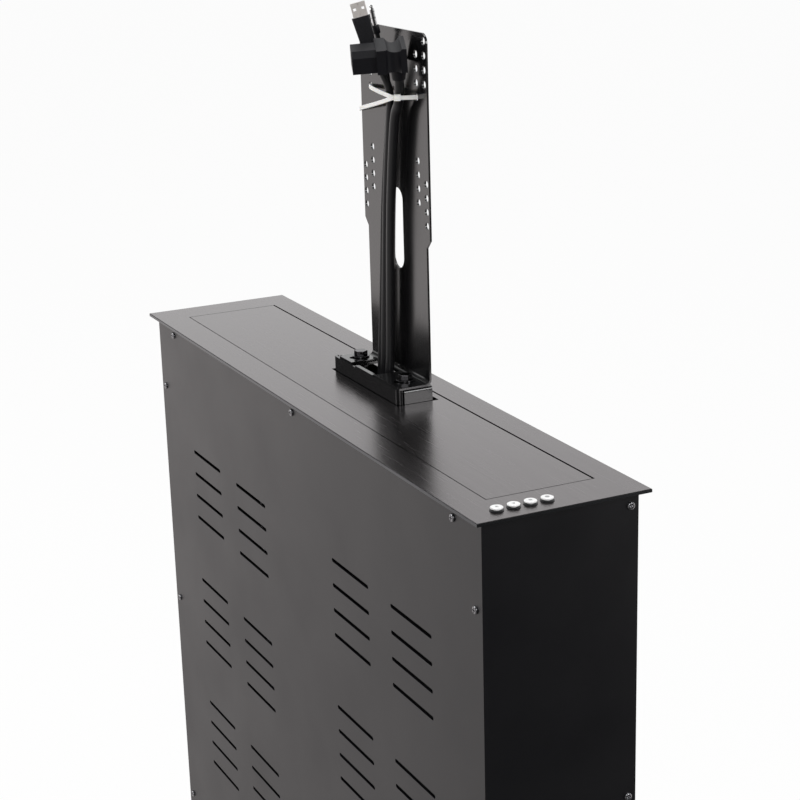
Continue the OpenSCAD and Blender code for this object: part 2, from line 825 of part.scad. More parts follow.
module gear_motor() {
    x0 = motor_plate_x + motor_plate_t;
    box_l = 0.36 * motor_l;
    color("#8b8e93") difference() {
        union() {
            bar_x(motor_d, x0, x0 + box_l, motor_y, shaft_z);
            bar_x(motor_d - 2, x0 + box_l - eps, x0 + motor_l - 4, motor_y, shaft_z);
            bar_x(motor_d - 12, x0 + motor_l - 4 - eps, x0 + motor_l, motor_y, shaft_z);
            bar_x(motor_boss_d, x0 - motor_plate_t + 0.5, x0 + eps, motor_y, shaft_z);
        }
        bar_x(motor_shaft_d + 2 * run_fit, x0 - motor_plate_t - 1, x0 + motor_seat, motor_y, shaft_z);
        bar_x(motor_d + 1, x0 + box_l, x0 + box_l + 1.2, motor_y, shaft_z);
        bar_x(motor_d - 5, x0 + box_l - 1, x0 + box_l + 2, motor_y, shaft_z);
    }
    color("#8b8e93") bar_x(motor_d - 4.9, x0 + box_l - 1.2, x0 + box_l + 2.2, motor_y, shaft_z);
}

// Control

control_wall = 2;
control_x0 = control_x - control_l / 2;
control_y0 = -in_y + 6;
lid_t = 2;

module control_box() {
    z1 = base_t + control_h - lid_t;
    color("#2b2b2e") difference() {
        span([control_x0, control_y0, base_t], [control_x0 + control_l, control_y0 + control_w, z1]);
        span([control_x0 + control_wall, control_y0 + control_wall, base_t + control_wall],
            [control_x0 + control_l - control_wall, control_y0 + control_w - control_wall, z1 + 1]);
    }
}

module control_box_lid() {
    z0 = base_t + control_h - lid_t;
    color("#2b2b2e") translate([0, 0, z0]) linear_extrude(lid_t) difference() {
        translate([control_x0, control_y0]) square([control_l, control_w]);
        for (i = [-5 : 5]) translate([control_x + 10 * i, control_y0 + control_w / 2]) rotate(90)
            slot2d(control_w * 0.5, 3);
    }
}

inlet_l = 27.6;
inlet_h = 20;

// Appliance inlet in the rear panel, with its three pins
module power_inlet() {
    y1 = case_w / 2;
    color("#1c1c1e") {
        difference() {
            union() {
                upright(y1, 2) translate([control_x, inlet_z]) round_rect([-18, -13], [18, 13], 3);
                upright(y1 - 20, 20 + eps) translate([control_x, inlet_z])
                    square([inlet_l, inlet_h], center = true);
            }
            upright(y1 - 16, 20) translate([control_x, inlet_z]) polygon([
                [-12, -7.75], [12, -7.75], [12, 4], [8.3, 7.75], [-8.3, 7.75], [-12, 4]
            ]);
        }
        for (p = [[-7, -2], [0, 2], [7, -2]]) upright(y1 - 16 - eps, 13)
            translate([control_x + p[0], inlet_z + p[1]]) square([2, 4], center = true);
    }
}

// Sensors that see the carriage at both ends of its travel
module limit_sensors() {
    face = beam_y1 + 1;
    x = sensor_inset - beam_end;
    color("#c4722b") for (z = [beam_z - beam_h / 2, beam_z - beam_h / 2 - stroke]) difference() {
        span([x - sensor_w / 2, face, z - sensor_h / 2], [x + sensor_w / 2, in_y, z + sensor_h / 2]);
        translate([x, face - 1, z]) rotate([-90, 0, 0]) cylinder(d = 5, h = 1.6);
    }
}

// Buttons

barrel_r = 3.2;
button_x = case_l / 2 - button_inset;
collar_t = 0.4;
stem_r = 2.2;

// Collar and switch of each button, seated in the top frame
module button_bodies() {
    color("#141416") for (i = [0 : 3])
    translate([button_x, button_y + i * button_pitch, top_z]) difference() {
        union() {
            cylinder(d = button_d + 0.9, h = collar_t);
            translate([0, 0, -14]) cylinder(r = barrel_r, h = 14 + eps);
            translate([-barrel_r, -barrel_r, -19]) cube([2 * barrel_r, 2 * barrel_r, 5 + eps]);
        }
        translate([0, 0, -13]) cylinder(r = stem_r + run_fit, h = 20);
    }
}

// Cap with a nearly flat top on a stem
module button(i) {
    r = button_d / 2;
    gap = collar_t + button_travel + 0.2;
    color("#d9d9da") translate([button_x, button_y + i * button_pitch, top_z]) rotate_extrude() polygon([
        [0, -11], [stem_r, -11], [stem_r, gap], [r, gap], [r, gap + 0.4],
        for (a = [15 : 15 : 90]) [r - 0.6 + 0.6 * cos(a), gap + 0.4 + 0.5 * sin(a)],
        [0, gap + 1]
    ]);
}

module up_button() {
    button(0);
}

module down_button() {
    button(1);
}

module stop_button() {
    button(2);
}

module screen_button() {
    button(3);
}

// Carriage

module carriage_beam() {
    color("#4a4b4f") difference() {
        span([-beam_end, beam_y0, beam_z - beam_h], [beam_end, beam_y1, beam_z]);
        span([-beam_end - 1, block_y0, beam_z - beam_h - 1], [beam_end + 1, block_y1, beam_z - beam_t]);
        for (s = [-1, 1]) translate([s * rod_x, rod_y, beam_z - beam_t - 1])
            cylinder(d = rod_d + 3, h = beam_t + 2);
        translate([0, 0, beam_z - beam_t - 1]) linear_extrude(beam_t + 2)
            round_rect([-18, block_y0 + 2], [20, foot_y1 - 2], 4);
        upright(beam_y0 - 1, beam_w + 2) for (s = [-1, 1], x = [60 : 60 : 240])
            translate([s * x, beam_z - beam_h / 2]) circle(d = 22);
    }
}

// Block that carries a guide bush, under the beam's end
module bearing_block(x) {
    color("#8d9094") difference() {
        span([x - block_w / 2, block_y0, block_z0], [x + block_w / 2, block_y1, block_z0 + block_h]);
        translate([sign(x) * rod_x, rod_y, block_z0 - 1]) cylinder(r = bush_r + seat_fit, h = block_h + 2);
        upright(block_y0 - 1, 9) for (z = clamp_screw_zs) translate([sign(x) * belt_x, z]) circle(d = 3.3);
    }
}

clamp_h = 16;
clamp_z0 = block_z0 + 1;
clamp_screw_zs = [clamp_z0 + 8];

module left_bearing_block() {
    bearing_block(-block_x);
}

module right_bearing_block() {
    bearing_block(block_x);
}

module guide_bush(x) {
    color("#c9bfa5") translate([x, rod_y, block_z0]) difference() {
        union() {
            cylinder(r = bush_r, h = block_h);
            translate([0, 0, -1.5]) cylinder(r = bush_r + 1, h = 1.5 + eps);
        }
        translate([0, 0, -3]) cylinder(d = rod_d + 2 * run_fit, h = block_h + 6);
    }
}

module left_guide_bush() {
    guide_bush(-rod_x);
}

module right_guide_bush() {
    guide_bush(rod_x);
}

// Clamp that takes hold of the belt's rear run
module belt_clamp(x) {
    half = belt_w / 2 + belt_gap;
    jaw = 3.2;
    y0 = belt_y + belt_in - belt_gap - jaw;
    color("#3f4044") difference() {
        span([x - half - jaw, y0, clamp_z0], [x + half + jaw, block_y0, clamp_z0 + clamp_h]);
        span([x - half, y0 + jaw, clamp_z0 - 1],
            [x + half, belt_y + belt_out + belt_gap, clamp_z0 + clamp_h + 1]);
    }
}

module left_belt_clamp() {
    belt_clamp(-belt_x);
}

module right_belt_clamp() {
    belt_clamp(belt_x);
}

// Upright sheet along Y that folds over towards +X at its top, its outer face on x = 0
module folded_end(y0, y1, z0, z1) {
    span([0, y0, z0], [foot_t, y1, z1 - foot_fold]);
    span([foot_fold, y0, z1 - foot_t], [foot_tab, y1, z1]);
    translate([foot_fold, y1, z1 - foot_fold]) rotate([90, 0, 0]) linear_extrude(y1 - y0) difference() {
        intersection() {
            circle(r = foot_fold);
            translate([-foot_fold, 0]) square(foot_fold);
        }
        circle(r = foot_fold - foot_t);
    }
}

// Folded channel on the beam whose top tabs carry the monitor bracket
module foot_channel() {
    z0 = beam_z;
    seam_z = top_z - cover_t;
    end_y = foot_front + foot_bend + foot_seam;
    color("#232326") difference() {
        union() {
            translate([0, 0, z0]) linear_extrude(seam_z - z0) difference() {
                foot_outline2d(0);
                foot_outline2d(foot_t);
            }
            translate([0, 0, seam_z]) linear_extrude(foot_top - seam_z) intersection() {
                difference() {
                    foot_outline2d(0);
                    foot_outline2d(foot_t);
                }
                translate([foot_x0, foot_front]) square([foot_l, foot_bend]);
            }
            translate([foot_x0, 0, 0]) folded_end(end_y, foot_y1, seam_z, foot_top);
            translate([foot_x1, 0, 0]) mirror([1, 0, 0]) folded_end(end_y, foot_y1, seam_z, foot_top);
            for (x = [foot_x0 + foot_t, foot_x1 - foot_tab])
                span([x, foot_front + foot_t, z0], [x + foot_tab - foot_t, foot_y1, z0 + foot_t]);
            span([hem_x - hem_l / 2, foot_front, foot_top - eps],
                [hem_x + hem_l / 2, foot_front + 1.6 * foot_t, foot_top + hem_h]);
        }
        for (x = [bolt_x0, bolt_x1]) translate([x, bolt_y, z0 - 1])
            cylinder(d = bolt_d + 2 * seat_fit, h = foot_top - z0 + 2);
    }
}

// Outline of the foot's channel, open at the rear, drawn in by an inset
module foot_outline2d(inset) {
    r = foot_bend - inset;
    x0 = foot_x0 + inset;
    x1 = foot_x1 - inset;
    y0 = foot_front + inset;
    translate([x0, y0 + r]) square([x1 - x0, foot_y1 - y0 - r + inset]);
    translate([x0 + r, y0]) square([x1 - x0 - 2 * r, r]);
    for (x = [x0 + r, x1 - r]) translate([x, y0 + r]) circle(r = r);
}

// Panel round the foot that closes the top frame's opening when the lift is up
module cover_panel() {
    color("#8f8b8b") difference() {
        span([open_x0 + cover_gap, open_y0 + cover_gap, top_z - cover_t],
            [open_x1 - cover_gap, open_y1 - cover_rear_gap, top_z]);
        span([foot_x0 - window_left, foot_front - window_tight, top_z - cover_t - 1],
            [foot_x1 + window_tight, foot_y1 + window_rear - 2, top_z + 1]);
    }
}

// Profiles between the beam and the cover
module cover_brackets() {
    z0 = beam_z;
    z1 = top_z - cover_t;
    x = opening_l / 2 - cover_bracket_inset;
    half = cover_bracket_w / 2;
    color("#8d9094") for (s = [-1, 1]) translate([s * x, 0, 0]) difference() {
        union() {
            span([-half, beam_y0 + 2, z0], [half, open_y1 - cover_rear_gap - 4, z1]);
            span([-half, open_y0 + 6, z1 - 2], [half, beam_y0 + 3, z1]);
        }
        span([-half - 1, beam_y0 + 4, z0 + 2], [half + 1, open_y1 - cover_rear_gap - 6, z1 - 2]);
    }
}

// Folded plate with the hole patterns for the monitor, and its flange on the foot's tabs
module monitor_bracket() {
    half = bracket_w / 2;
    low = bracket_low_w / 2;
    leg_z = bracket_z0 + 2 * bracket_bend;
    flat_y = bracket_y + bracket_t - bracket_bend;
    color("#3a393b") difference() {
        union() {
            upright(bracket_y, bracket_t) translate([bracket_x, 0]) difference() {
                union() {
                    round_rect([-half, top_z + bracket_step + 2], [half, top_z + bracket_top], 7);
                    polygon([
                        [-half, top_z + bracket_step + 12], [-half, top_z + bracket_step + 2],
                        [-low, top_z + bracket_step - 4], [-low, bracket_z0 + bracket_bend],
                        [low, bracket_z0 + bracket_bend], [low, top_z + bracket_step - 4],
                        [half, top_z + bracket_step + 2], [half, top_z + bracket_step + 12]
                    ]);
                }
                vesa_holes2d();
                translate([slot_x - bracket_x, top_z + slot_z]) rotate(90) slot2d(slot_l, slot_w);
            }
            translate([low_x0, 0, 0]) rotate([90, 0, 90]) linear_extrude(low_x1 - low_x0) difference() {
                bent_sheet2d(leg_z, 0);
                bent_sheet2d(leg_z + 1, bracket_t);
            }
            span([tab_x0, flange_y0, bracket_z0], [low_x0 + 1, flat_y, bracket_z0 + bracket_t]);
        }
        span([notch_x0, flange_y0 - 1, bracket_z0 - 1], [notch_x1, flat_y, bracket_z0 + bracket_t + 1]);
        for (x = [bolt_x0, bolt_x1]) translate([x, bolt_y - 1.5, bracket_z0 - 1]) rotate(90)
            linear_extrude(bracket_t + 2) slot2d(adjust_l, bolt_d + 0.6);
    }
}

flange_y0 = foot_front + 1.2;

// Section of the plate's lower end and the flange in front of it, drawn in by an inset
module bent_sheet2d(z1, inset) {
    r = bracket_bend - inset;
    y0 = flange_y0 - inset;
    y1 = bracket_y + bracket_t - inset;
    z0 = bracket_z0 + inset;
    translate([y0, z0]) square([y1 - y0 - r, z1 - z0]);
    translate([y0, z0 + r]) square([y1 - y0, z1 - z0 - r]);
    translate([y1 - r, z0 + r]) circle(r = r);
}

module vesa_holes2d() {
    upper = top_z + vesa_top;
    for (s = [-1, 1], i = [0 : vesa_count - 1]) {
        for (z = [upper, upper - vesa_outer])
            translate([s * vesa_outer / 2, z - i * vesa_pitch]) circle(d = vesa_hole_d);
        for (z = [upper - vesa_pitch, upper - vesa_pitch - vesa_inner])
            translate([s * vesa_inner / 2, z - i * vesa_pitch]) circle(d = vesa_hole_d);
    }
}

washer_t = 1.2;
nut_h = 4.5;

// Hex bolts with nuts that hold the bracket to the foot
module bracket_bolts() {
    seat = bracket_z0 + bracket_t + washer_t;
    shank_z = foot_top - foot_t - nut_h - 2;
    color("#3b3b3d") for (x = [bolt_x0, bolt_x1]) translate([x, bolt_y, 0]) {
        translate([0, 0, seat]) cylinder(d = 1.75 * bolt_d, h = 0.65 * bolt_d, $fn = 6);
        translate([0, 0, shank_z]) cylinder(d = bolt_d, h = seat - shank_z + eps);
        translate([0, 0, foot_top - foot_t - nut_h]) cylinder(d = 1.75 * bolt_d, h = nut_h, $fn = 6);
    }
}

module bracket_washers() {
    color("#6a6a6e") for (x = [bolt_x0, bolt_x1])
    translate([x, bolt_y, bracket_z0 + bracket_t]) difference() {
        cylinder(d = 2.2 * bolt_d, h = washer_t);
        translate([0, 0, -1]) cylinder(d = bolt_d + 2 * seat_fit, h = washer_t + 2);
    }
}

// Cords and their ends

// Box under the beam where the cords end
module junction_box() {
    z1 = beam_z - beam_t;
    ends = [[power_route[0], power_d], [video_route[0], video_d], [audio_route[0], audio_d]];
    color("#1d1d20") difference() {
        span([-box_left, block_y0 + 1, z1 - box_h], [box_right, block_y1 - 1, z1]);
        for (e = ends) translate([e[0][0], e[0][1], z1 - 10]) cylinder(d = e[1] + 2 * cord_play, h = 12);
    }
}

module power_cord() {
    color("#161618") cord(power_route, power_d);
}

module video_cord() {
    color("#19191b") cord(video_route, video_d);
}

module audio_cord() {
    color("#1c1c1f") cord(audio_route, audio_d);
}

// Moulded appliance connector, nose along its own +X, cord coming in from below
module power_connector() {
    nose = 17;
    grip = 21;
    nose_h = 15.4;
    grip_h = 17;
    grip_w = 29;
    hollow_r = 5.5;
    hollow = 3.6;
    color("#151517") translate([0, 0, top_z]) translate(connector_at) rotate(connector_turn) difference() {
        union() {
            translate([grip - eps, 0, 0]) rotate([90, 0, 90]) linear_extrude(nose) polygon([
                [-12, -nose_h / 2], [12, -nose_h / 2], [12, 3.6],
                [8.2, nose_h / 2], [-8.2, nose_h / 2], [-12, 3.6]
            ]);
            translate([0, 0, -grip_h / 2]) linear_extrude(grip_h) difference() {
                translate([0, -grip_w / 2]) square([grip, grip_w]);
                for (s = [-1, 1])
                    translate([grip * 0.45, s * (grip_w / 2 + hollow_r - hollow)]) circle(r = hollow_r);
            }
            translate([5.9, 0, -grip_h / 2 - 9]) cylinder(d1 = power_d + 2.4, d2 = power_d + 5, h = 9 + eps);
        }
        translate([5.9, 0, -grip_h / 2 - 12]) cylinder(d = power_d + 2 * cord_play, h = 15.5);
        for (p = [[-7, -2], [0, 2], [7, -2]]) translate([grip + nose - 14, p[0], p[1]])
            translate([8, 0, 0]) cube([16, 2.4, 4.6], center = true);
    }
}

plug_l = 20;
shell_l = 10.6;
shell_w = 4.6;

// Moulded body of the video plug, narrower towards the cord, with ridges along both broad faces
module video_plug() {
    wide = shell_l + 2.8;
    thick = shell_w + 3;
    neck = video_d + 4.8;
    color("#1a1a1c") aim(video_plug_at + [0, 0, top_z], video_plug_to + [0, 0, top_z]) rotate(video_plug_spin)
        difference() {
            union() {
                intersection() {
                    linear_extrude(plug_l) round_rect([-wide / 2, -thick / 2], [wide / 2, thick / 2], 1.6);
                    upright(-thick, 2 * thick)
                        polygon([[-neck / 2, 0], [neck / 2, 0], [wide / 2, plug_l], [-wide / 2, plug_l]]);
                }
                for (x = [-4 : 2 : 4]) translate([x - 0.4, -thick / 2 - 0.4, 3])
                    cube([0.8, thick + 0.8, plug_l - 5]);
                translate([0, 0, -4]) cylinder(d1 = video_d + 1.6, d2 = video_d + 2.2, h = 4 + eps);
            }
            translate([0, 0, -5]) cylinder(d = video_d + 2 * cord_play, h = 12);
            translate([0, 0, plug_l - 5]) linear_extrude(6)
                square([shell_l + 2 * seat_fit, shell_w + 2 * seat_fit], center = true);
        }
}

// Metal shell of the video plug, open at the tip, with its latching holes and middle seam
module video_plug_shell() {
    color("#cfd1d4") aim(video_plug_at + [0, 0, top_z], video_plug_to + [0, 0, top_z]) rotate(video_plug_spin)
        difference() {
            translate([0, 0, plug_l - 5]) linear_extrude(15) square([shell_l, shell_w], center = true);
            translate([0, 0, plug_l - 2]) linear_extrude(15)
                square([shell_l - 1.4, shell_w - 1.4], center = true);
            for (x = [-3, 3]) translate([x, 0, plug_l + 5.5]) cube([2, shell_w + 2, 2], center = true);
            for (s = [-1, 1]) translate([0, s * shell_w / 2, plug_l + 6]) cube([0.3, 0.5, 11], center = true);
        }
}

// Stereo jack plug: short handle, sleeve, insulating rings and pointed tip
module audio_plug() {
    r = audio_d / 2 + cord_play + 0.5;
    color("#b9babd") aim(audio_plug_at + [0, 0, top_z], audio_plug_to + [0, 0, top_z]) difference() {
        rotate_extrude() polygon([
            [0, 2.4], [r, 2.4], [r, 8], [r - 0.5, 8.6], [1.75, 8.6], [1.75, 13.6],
            [1.5, 13.7], [1.5, 14.1], [1.75, 14.2], [1.75, 18.2], [1.5, 18.3], [1.5, 18.7], [1.75, 18.8],
            [1.75, 20.2], [1.1, 21.2], [1.4, 22], [0.5, 23.4], [0, 23.5]
        ]);
        translate([0, 0, 1]) cylinder(d = audio_d + 2 * cord_play, h = 5);
    }
}

// A flat strip standing on its edge from a to b
module strip(a, b) {
    d = b - a;
    flat = norm([d[0], d[1]]);
    translate(a) rotate([0, -atan2(d[2], flat), 0] + [0, 0, atan2(d[1], d[0])])
        translate([-tie_t / 2, -tie_t / 2, -tie_w / 2]) cube([norm(d) + tie_t, tie_t, tie_w]);
}

// Cable tie through two of the bracket's holes, round the cords, with its tail behind the plate
module cable_tie() {
    left = bracket_x - vesa_inner / 2;
    right = bracket_x + vesa_inner / 2;
    mouth = bracket_y - 2;
    back = bracket_y + bracket_t + 0.9;
    edge = bracket_x - bracket_w / 2 - 1.2;
    low = tie_z - tie_fall;
    loop = [
        [right, back], [right, mouth], each tie_front, [left, mouth], [left, back], [right, back]
    ];
    color("#d9d7d0") {
        for (i = [0 : len(loop) - 2]) strip([each loop[i], tie_z], [each loop[i + 1], tie_z]);
        translate([each tie_head, tie_z + 0.6]) rotate(63) cube([5.4, 4.4, 5], center = true);
        strip([each tie_head - [1.4, 1.8], tie_z + 0.5], [edge, mouth + 0.6, low]);
        strip([edge, mouth + 0.6, low], [edge, back, low]);
        strip([edge, back, low], [edge + 12, back, low + 1]);
    }
}

top_frame();
top_subframe();
front_panel();
rear_panel();
left_side_panel();
right_side_panel();
rear_posts();
bottom_plate();
panel_screws();
left_guide_rod();
right_guide_rod();
upper_rod_holders();
lower_rod_holders();
left_idler_axle();
right_idler_axle();
left_drive_belt();
right_drive_belt();
left_shaft_stand();
right_shaft_stand();
shaft_bushes();
motor_bracket();
gear_motor();
control_box();
control_box_lid();
power_inlet();
limit_sensors();
button_bodies();
cross_shaft();
left_drive_pulley();
right_drive_pulley();
shaft_gear();
motor_pinion();
left_idler_pulley();
right_idler_pulley();
carriage_beam();
left_bearing_block();
right_bearing_block();
left_guide_bush();
right_guide_bush();
left_belt_clamp();
right_belt_clamp();
foot_channel();
cover_panel();
cover_brackets();
monitor_bracket();
bracket_bolts();
bracket_washers();
junction_box();
power_cord();
video_cord();
audio_cord();
power_connector();
video_plug();
video_plug_shell();
audio_plug();
cable_tie();
up_button();
down_button();
stop_button();
screen_button();
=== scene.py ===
# %% [markdown]
# # A TV lift in a slim vented case
# The lift hides in a cabinet. At the press of a button a carriage runs up two guide rods inside the
# case and brings a monitor bracket out through the top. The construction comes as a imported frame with
# one object for each piece. This lesson gives every piece its finish, softens the edges that light
# catches, and models the cords, the plugs, the cable tie and other small things more closely.

# %% Load the frame
import math

import bmesh
import bpy
from mathutils import Matrix, Vector


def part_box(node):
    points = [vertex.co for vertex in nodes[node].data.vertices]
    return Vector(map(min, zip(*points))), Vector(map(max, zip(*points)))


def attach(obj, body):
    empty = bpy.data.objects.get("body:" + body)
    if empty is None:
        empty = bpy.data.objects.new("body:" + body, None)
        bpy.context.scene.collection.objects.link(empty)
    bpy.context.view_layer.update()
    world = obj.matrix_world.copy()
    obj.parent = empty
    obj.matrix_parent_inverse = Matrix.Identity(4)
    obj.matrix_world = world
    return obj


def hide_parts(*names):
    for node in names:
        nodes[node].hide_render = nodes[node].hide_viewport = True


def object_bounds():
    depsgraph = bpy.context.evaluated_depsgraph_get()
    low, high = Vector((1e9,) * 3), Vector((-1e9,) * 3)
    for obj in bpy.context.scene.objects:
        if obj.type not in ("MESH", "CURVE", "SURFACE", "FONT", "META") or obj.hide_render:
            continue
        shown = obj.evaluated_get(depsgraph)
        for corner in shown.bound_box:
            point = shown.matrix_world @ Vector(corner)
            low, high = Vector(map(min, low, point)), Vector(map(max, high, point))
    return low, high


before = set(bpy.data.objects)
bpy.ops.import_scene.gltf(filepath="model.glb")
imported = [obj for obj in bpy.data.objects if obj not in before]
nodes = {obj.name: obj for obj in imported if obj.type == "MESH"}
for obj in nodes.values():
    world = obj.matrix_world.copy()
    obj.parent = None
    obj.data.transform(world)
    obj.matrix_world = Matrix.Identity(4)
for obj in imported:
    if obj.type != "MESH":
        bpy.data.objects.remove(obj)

MM = 0.001
cad_low, cad_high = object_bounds()
top_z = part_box("top_frame")[1].z
print("pieces in the frame:", len(nodes), "size in mm:", [round(s / MM, 1) for s in cad_high - cad_low])

# %% [markdown]
# ## Camera
# The viewing angle was worked out from straight edges of known length on the case. A camera can be
# aimed with a constraint, but here its axes are written out, because the picture is also rolled a
# little. The lens comes from the focal length in pixels, and the shift puts the lens axis slightly
# below the middle of the frame.

# %% Camera at the photograph's angle
FRAME_PX = 800
FOCAL_PX = 1923.5
LENS_AXIS_PX = (400, 430)
SENSOR_MM = 36
AZIMUTH = math.radians(64.37)
ELEVATION = math.radians(17.82)
ROLL = math.radians(-1.62)
AIM_MM = (110.55, -21.07)
DISTANCE_MM = 1344.85
CLIP_M = (0.05, 100)

back = Vector((
    math.sin(AZIMUTH) * math.cos(ELEVATION),
    -math.cos(AZIMUTH) * math.cos(ELEVATION),
    math.sin(ELEVATION),
))
level = Vector((math.cos(AZIMUTH), math.sin(AZIMUTH), 0))
raised = back.cross(level)
right = level * math.cos(ROLL) + raised * math.sin(ROLL)
up = raised * math.cos(ROLL) - level * math.sin(ROLL)
aim = Vector((AIM_MM[0] * MM, AIM_MM[1] * MM, top_z))

camera = bpy.data.objects.new("photo_camera", bpy.data.cameras.new("photo_camera"))
bpy.context.scene.collection.objects.link(camera)
bpy.context.scene.camera = camera
camera.data.sensor_width = SENSOR_MM
camera.data.lens = SENSOR_MM * FOCAL_PX / FRAME_PX
camera.data.shift_x = (FRAME_PX / 2 - LENS_AXIS_PX[0]) / FRAME_PX
camera.data.shift_y = (LENS_AXIS_PX[1] - FRAME_PX / 2) / FRAME_PX
camera.data.clip_start, camera.data.clip_end = CLIP_M
turn = Matrix((right, up, back)).transposed().to_4x4()
camera.matrix_world = Matrix.Translation(aim + back * DISTANCE_MM * MM) @ turn
bpy.context.scene.view_settings.view_transform = "Standard"
print("camera", [round(x, 3) for x in camera.location], "lens", round(camera.data.lens, 2))

# %% [markdown]
# ## Small helpers for node trees
# Colours are written as sRGB hex values, as a paint chart gives them, and one function turns them to
# the linear numbers that shaders work with. One function adds a node with its settings and links. Texture
# scales come from sizes in millimetres, and every new material is kept under its name.

# %% Colour and node helpers
materials = {}


def linear(hex_colour):
    """The linear RGBA of an sRGB hex colour."""
    channels = [int(hex_colour[i:i + 2], 16) / 255 for i in (1, 3, 5)]
    return [c / 12.92 if c <= 0.04045 else ((c + 0.055) / 1.055) ** 2.4 for c in channels] + [1]


def add(tree, kind, sockets=None, **settings):
    """Adds a node to a tree. Settings are its own properties, sockets its inputs: a value or an output."""
    node = tree.nodes.new("ShaderNode" + kind)
    for name, value in settings.items():
        setattr(node, name, value)
    for name, value in (sockets or {}).items():
        if isinstance(value, bpy.types.NodeSocket):
            tree.links.new(value, node.inputs[name])
        else:
            node.inputs[name].default_value = value
    return node


def per_mm(size_mm):
    """The texture scale that gives features of this size, with coordinates in metres."""
    return 1 / (size_mm * MM)


def new_material(name):
    """The empty tree of a new node material, which is kept under its name."""
    materials[name] = bpy.data.materials.new(name)
    materials[name].use_nodes = True
    materials[name].node_tree.nodes.clear()
    return materials[name].node_tree


print("middle grey in linear:", [round(c, 4) for c in linear("#808080")])

# %% [markdown]
# ## Studio paper
# The lift stands on a wide sheet of white paper under soft lamps. To the camera the paper is white, with
# a little of the shadow left in it. Shiny surfaces see bright paper on the left of the case and fainter
# paper in front of it and behind it. On its right they see a dark curtain, which is why the long panel
# reads grey and the end panel black although both carry the same paint. Real cards and cloths round the
# case would do it too, but they would show in other views, so the Light Path node tells the camera's rays
# from the mirrored ones.

# %% Paper as shiny surfaces see it
# Place along X in metres, and brightness of the paper there
GLOSS_STOPS = [(-2.4, 1.0), (-1.5, 0.78), (-0.3, 0.6), (0.6, 0.02)]
# The curtain begins on the right of the case and gets wider along a slant
CURTAIN_START_M = (0.1, 0.5)
CURTAIN_SLANT = -0.6
CURTAIN_EDGE_M = (0.0, 0.5)
FRONT_PAPER = 0.45
REAR_PAPER = 0.85

tree = new_material("white_background_paper")
ray = add(tree, "LightPath").outputs
position = add(tree, "NewGeometry").outputs["Position"]
spot = add(tree, "SeparateXYZ", {"Vector": position}).outputs
first, last = GLOSS_STOPS[0][0], GLOSS_STOPS[-1][0]
across = add(tree, "MapRange", {"Value": spot["X"], "From Min": first, "From Max": last}).outputs["Result"]
ramp = add(tree, "ValToRGB", {"Fac": across})
while len(ramp.color_ramp.elements) < len(GLOSS_STOPS):
    ramp.color_ramp.elements.new(0.5)
for stop, (x, brightness) in zip(ramp.color_ramp.elements, GLOSS_STOPS):
    stop.position = (x - first) / (last - first)
    stop.color = (brightness, brightness, brightness, 1)

off_axis = add(tree, "Math", {0: spot["Y"]}, operation="ABSOLUTE").outputs[0]
clear = []
for sideways, brightness in ((off_axis, FRONT_PAPER), (spot["Y"], REAR_PAPER)):
    past = add(tree, "Math", {
        0: spot["X"], 1: CURTAIN_SLANT, 2: sideways,
    }, operation="MULTIPLY_ADD").outputs[0]
    clear.append(add(tree, "MapRange", {
        "Value": past, "From Min": CURTAIN_EDGE_M[0], "From Max": CURTAIN_EDGE_M[1], "To Max": brightness,
    }).outputs["Result"])
begun = add(tree, "MapRange", {
    "Value": spot["X"], "From Min": CURTAIN_START_M[0], "From Max": CURTAIN_START_M[1],
}).outputs["Result"]
front = add(tree, "Math", {0: clear[0], 1: begun}, operation="MULTIPLY").outputs[0]
beyond = add(tree, "Math", {0: front, 1: clear[1]}, operation="MAXIMUM").outputs[0]
mirrored = add(tree, "Math", {0: ramp.outputs["Color"], 1: beyond}, operation="MAXIMUM").outputs[0]
print("paper in the gloss, from left to right:", [brightness for x, brightness in GLOSS_STOPS])

# %% [markdown]
# ## Floor
# The paper's shader mixes a lit white surface, which takes the shadow, with a plain glow, which keeps the
# paper white to the camera. A curved backdrop is the usual way. One flat face is enough here, because the
# sky behind it is just as white. It lies under the lowest point of the case.

# %% Paper floor
PAPER = "#f4f4f2"
WARM_PAPER = "#fff9f8"
PAPER_HALF_M = 14
GLOW_SHARE = 0.95

gloss = add(tree, "Math", {0: mirrored, 1: ray["Is Glossy Ray"]}, operation="MULTIPLY").outputs[0]
direct = add(tree, "Math", {
    0: ray["Is Camera Ray"], 1: ray["Is Transmission Ray"],
}, operation="MAXIMUM").outputs[0]
glow = add(tree, "Math", {0: gloss, 1: direct}, operation="ADD").outputs[0]
seen = add(tree, "Math", {0: direct, 1: ray["Is Glossy Ray"]}, operation="MAXIMUM").outputs[0]
share = add(tree, "Math", {0: seen, 1: GLOW_SHARE}, operation="MULTIPLY").outputs[0]
lit = add(tree, "BsdfDiffuse", {"Color": linear(PAPER)}).outputs[0]
tint = add(tree, "Mix", {
    "Factor": ray["Is Glossy Ray"], "A": linear("#ffffff"), "B": linear(WARM_PAPER),
}, data_type="RGBA").outputs["Result"]
shine = add(tree, "Emission", {"Color": tint, "Strength": glow}).outputs[0]
surface = add(tree, "MixShader", {"Fac": share, 1: lit, 2: shine}).outputs[0]
add(tree, "OutputMaterial", {"Surface": surface})

floor_mesh = bpy.data.meshes.new("paper_floor")
quarters = ((-1, -1), (1, -1), (1, 1), (-1, 1))
floor_mesh.from_pydata(
    [(x * PAPER_HALF_M, y * PAPER_HALF_M, cad_low.z) for x, y in quarters], [], [(0, 1, 2, 3)],
)
floor_mesh.materials.append(materials["white_background_paper"])
floor = bpy.data.objects.new("paper_floor", floor_mesh)
bpy.context.scene.collection.objects.link(floor)
print("floor at", round(cad_low.z, 4))

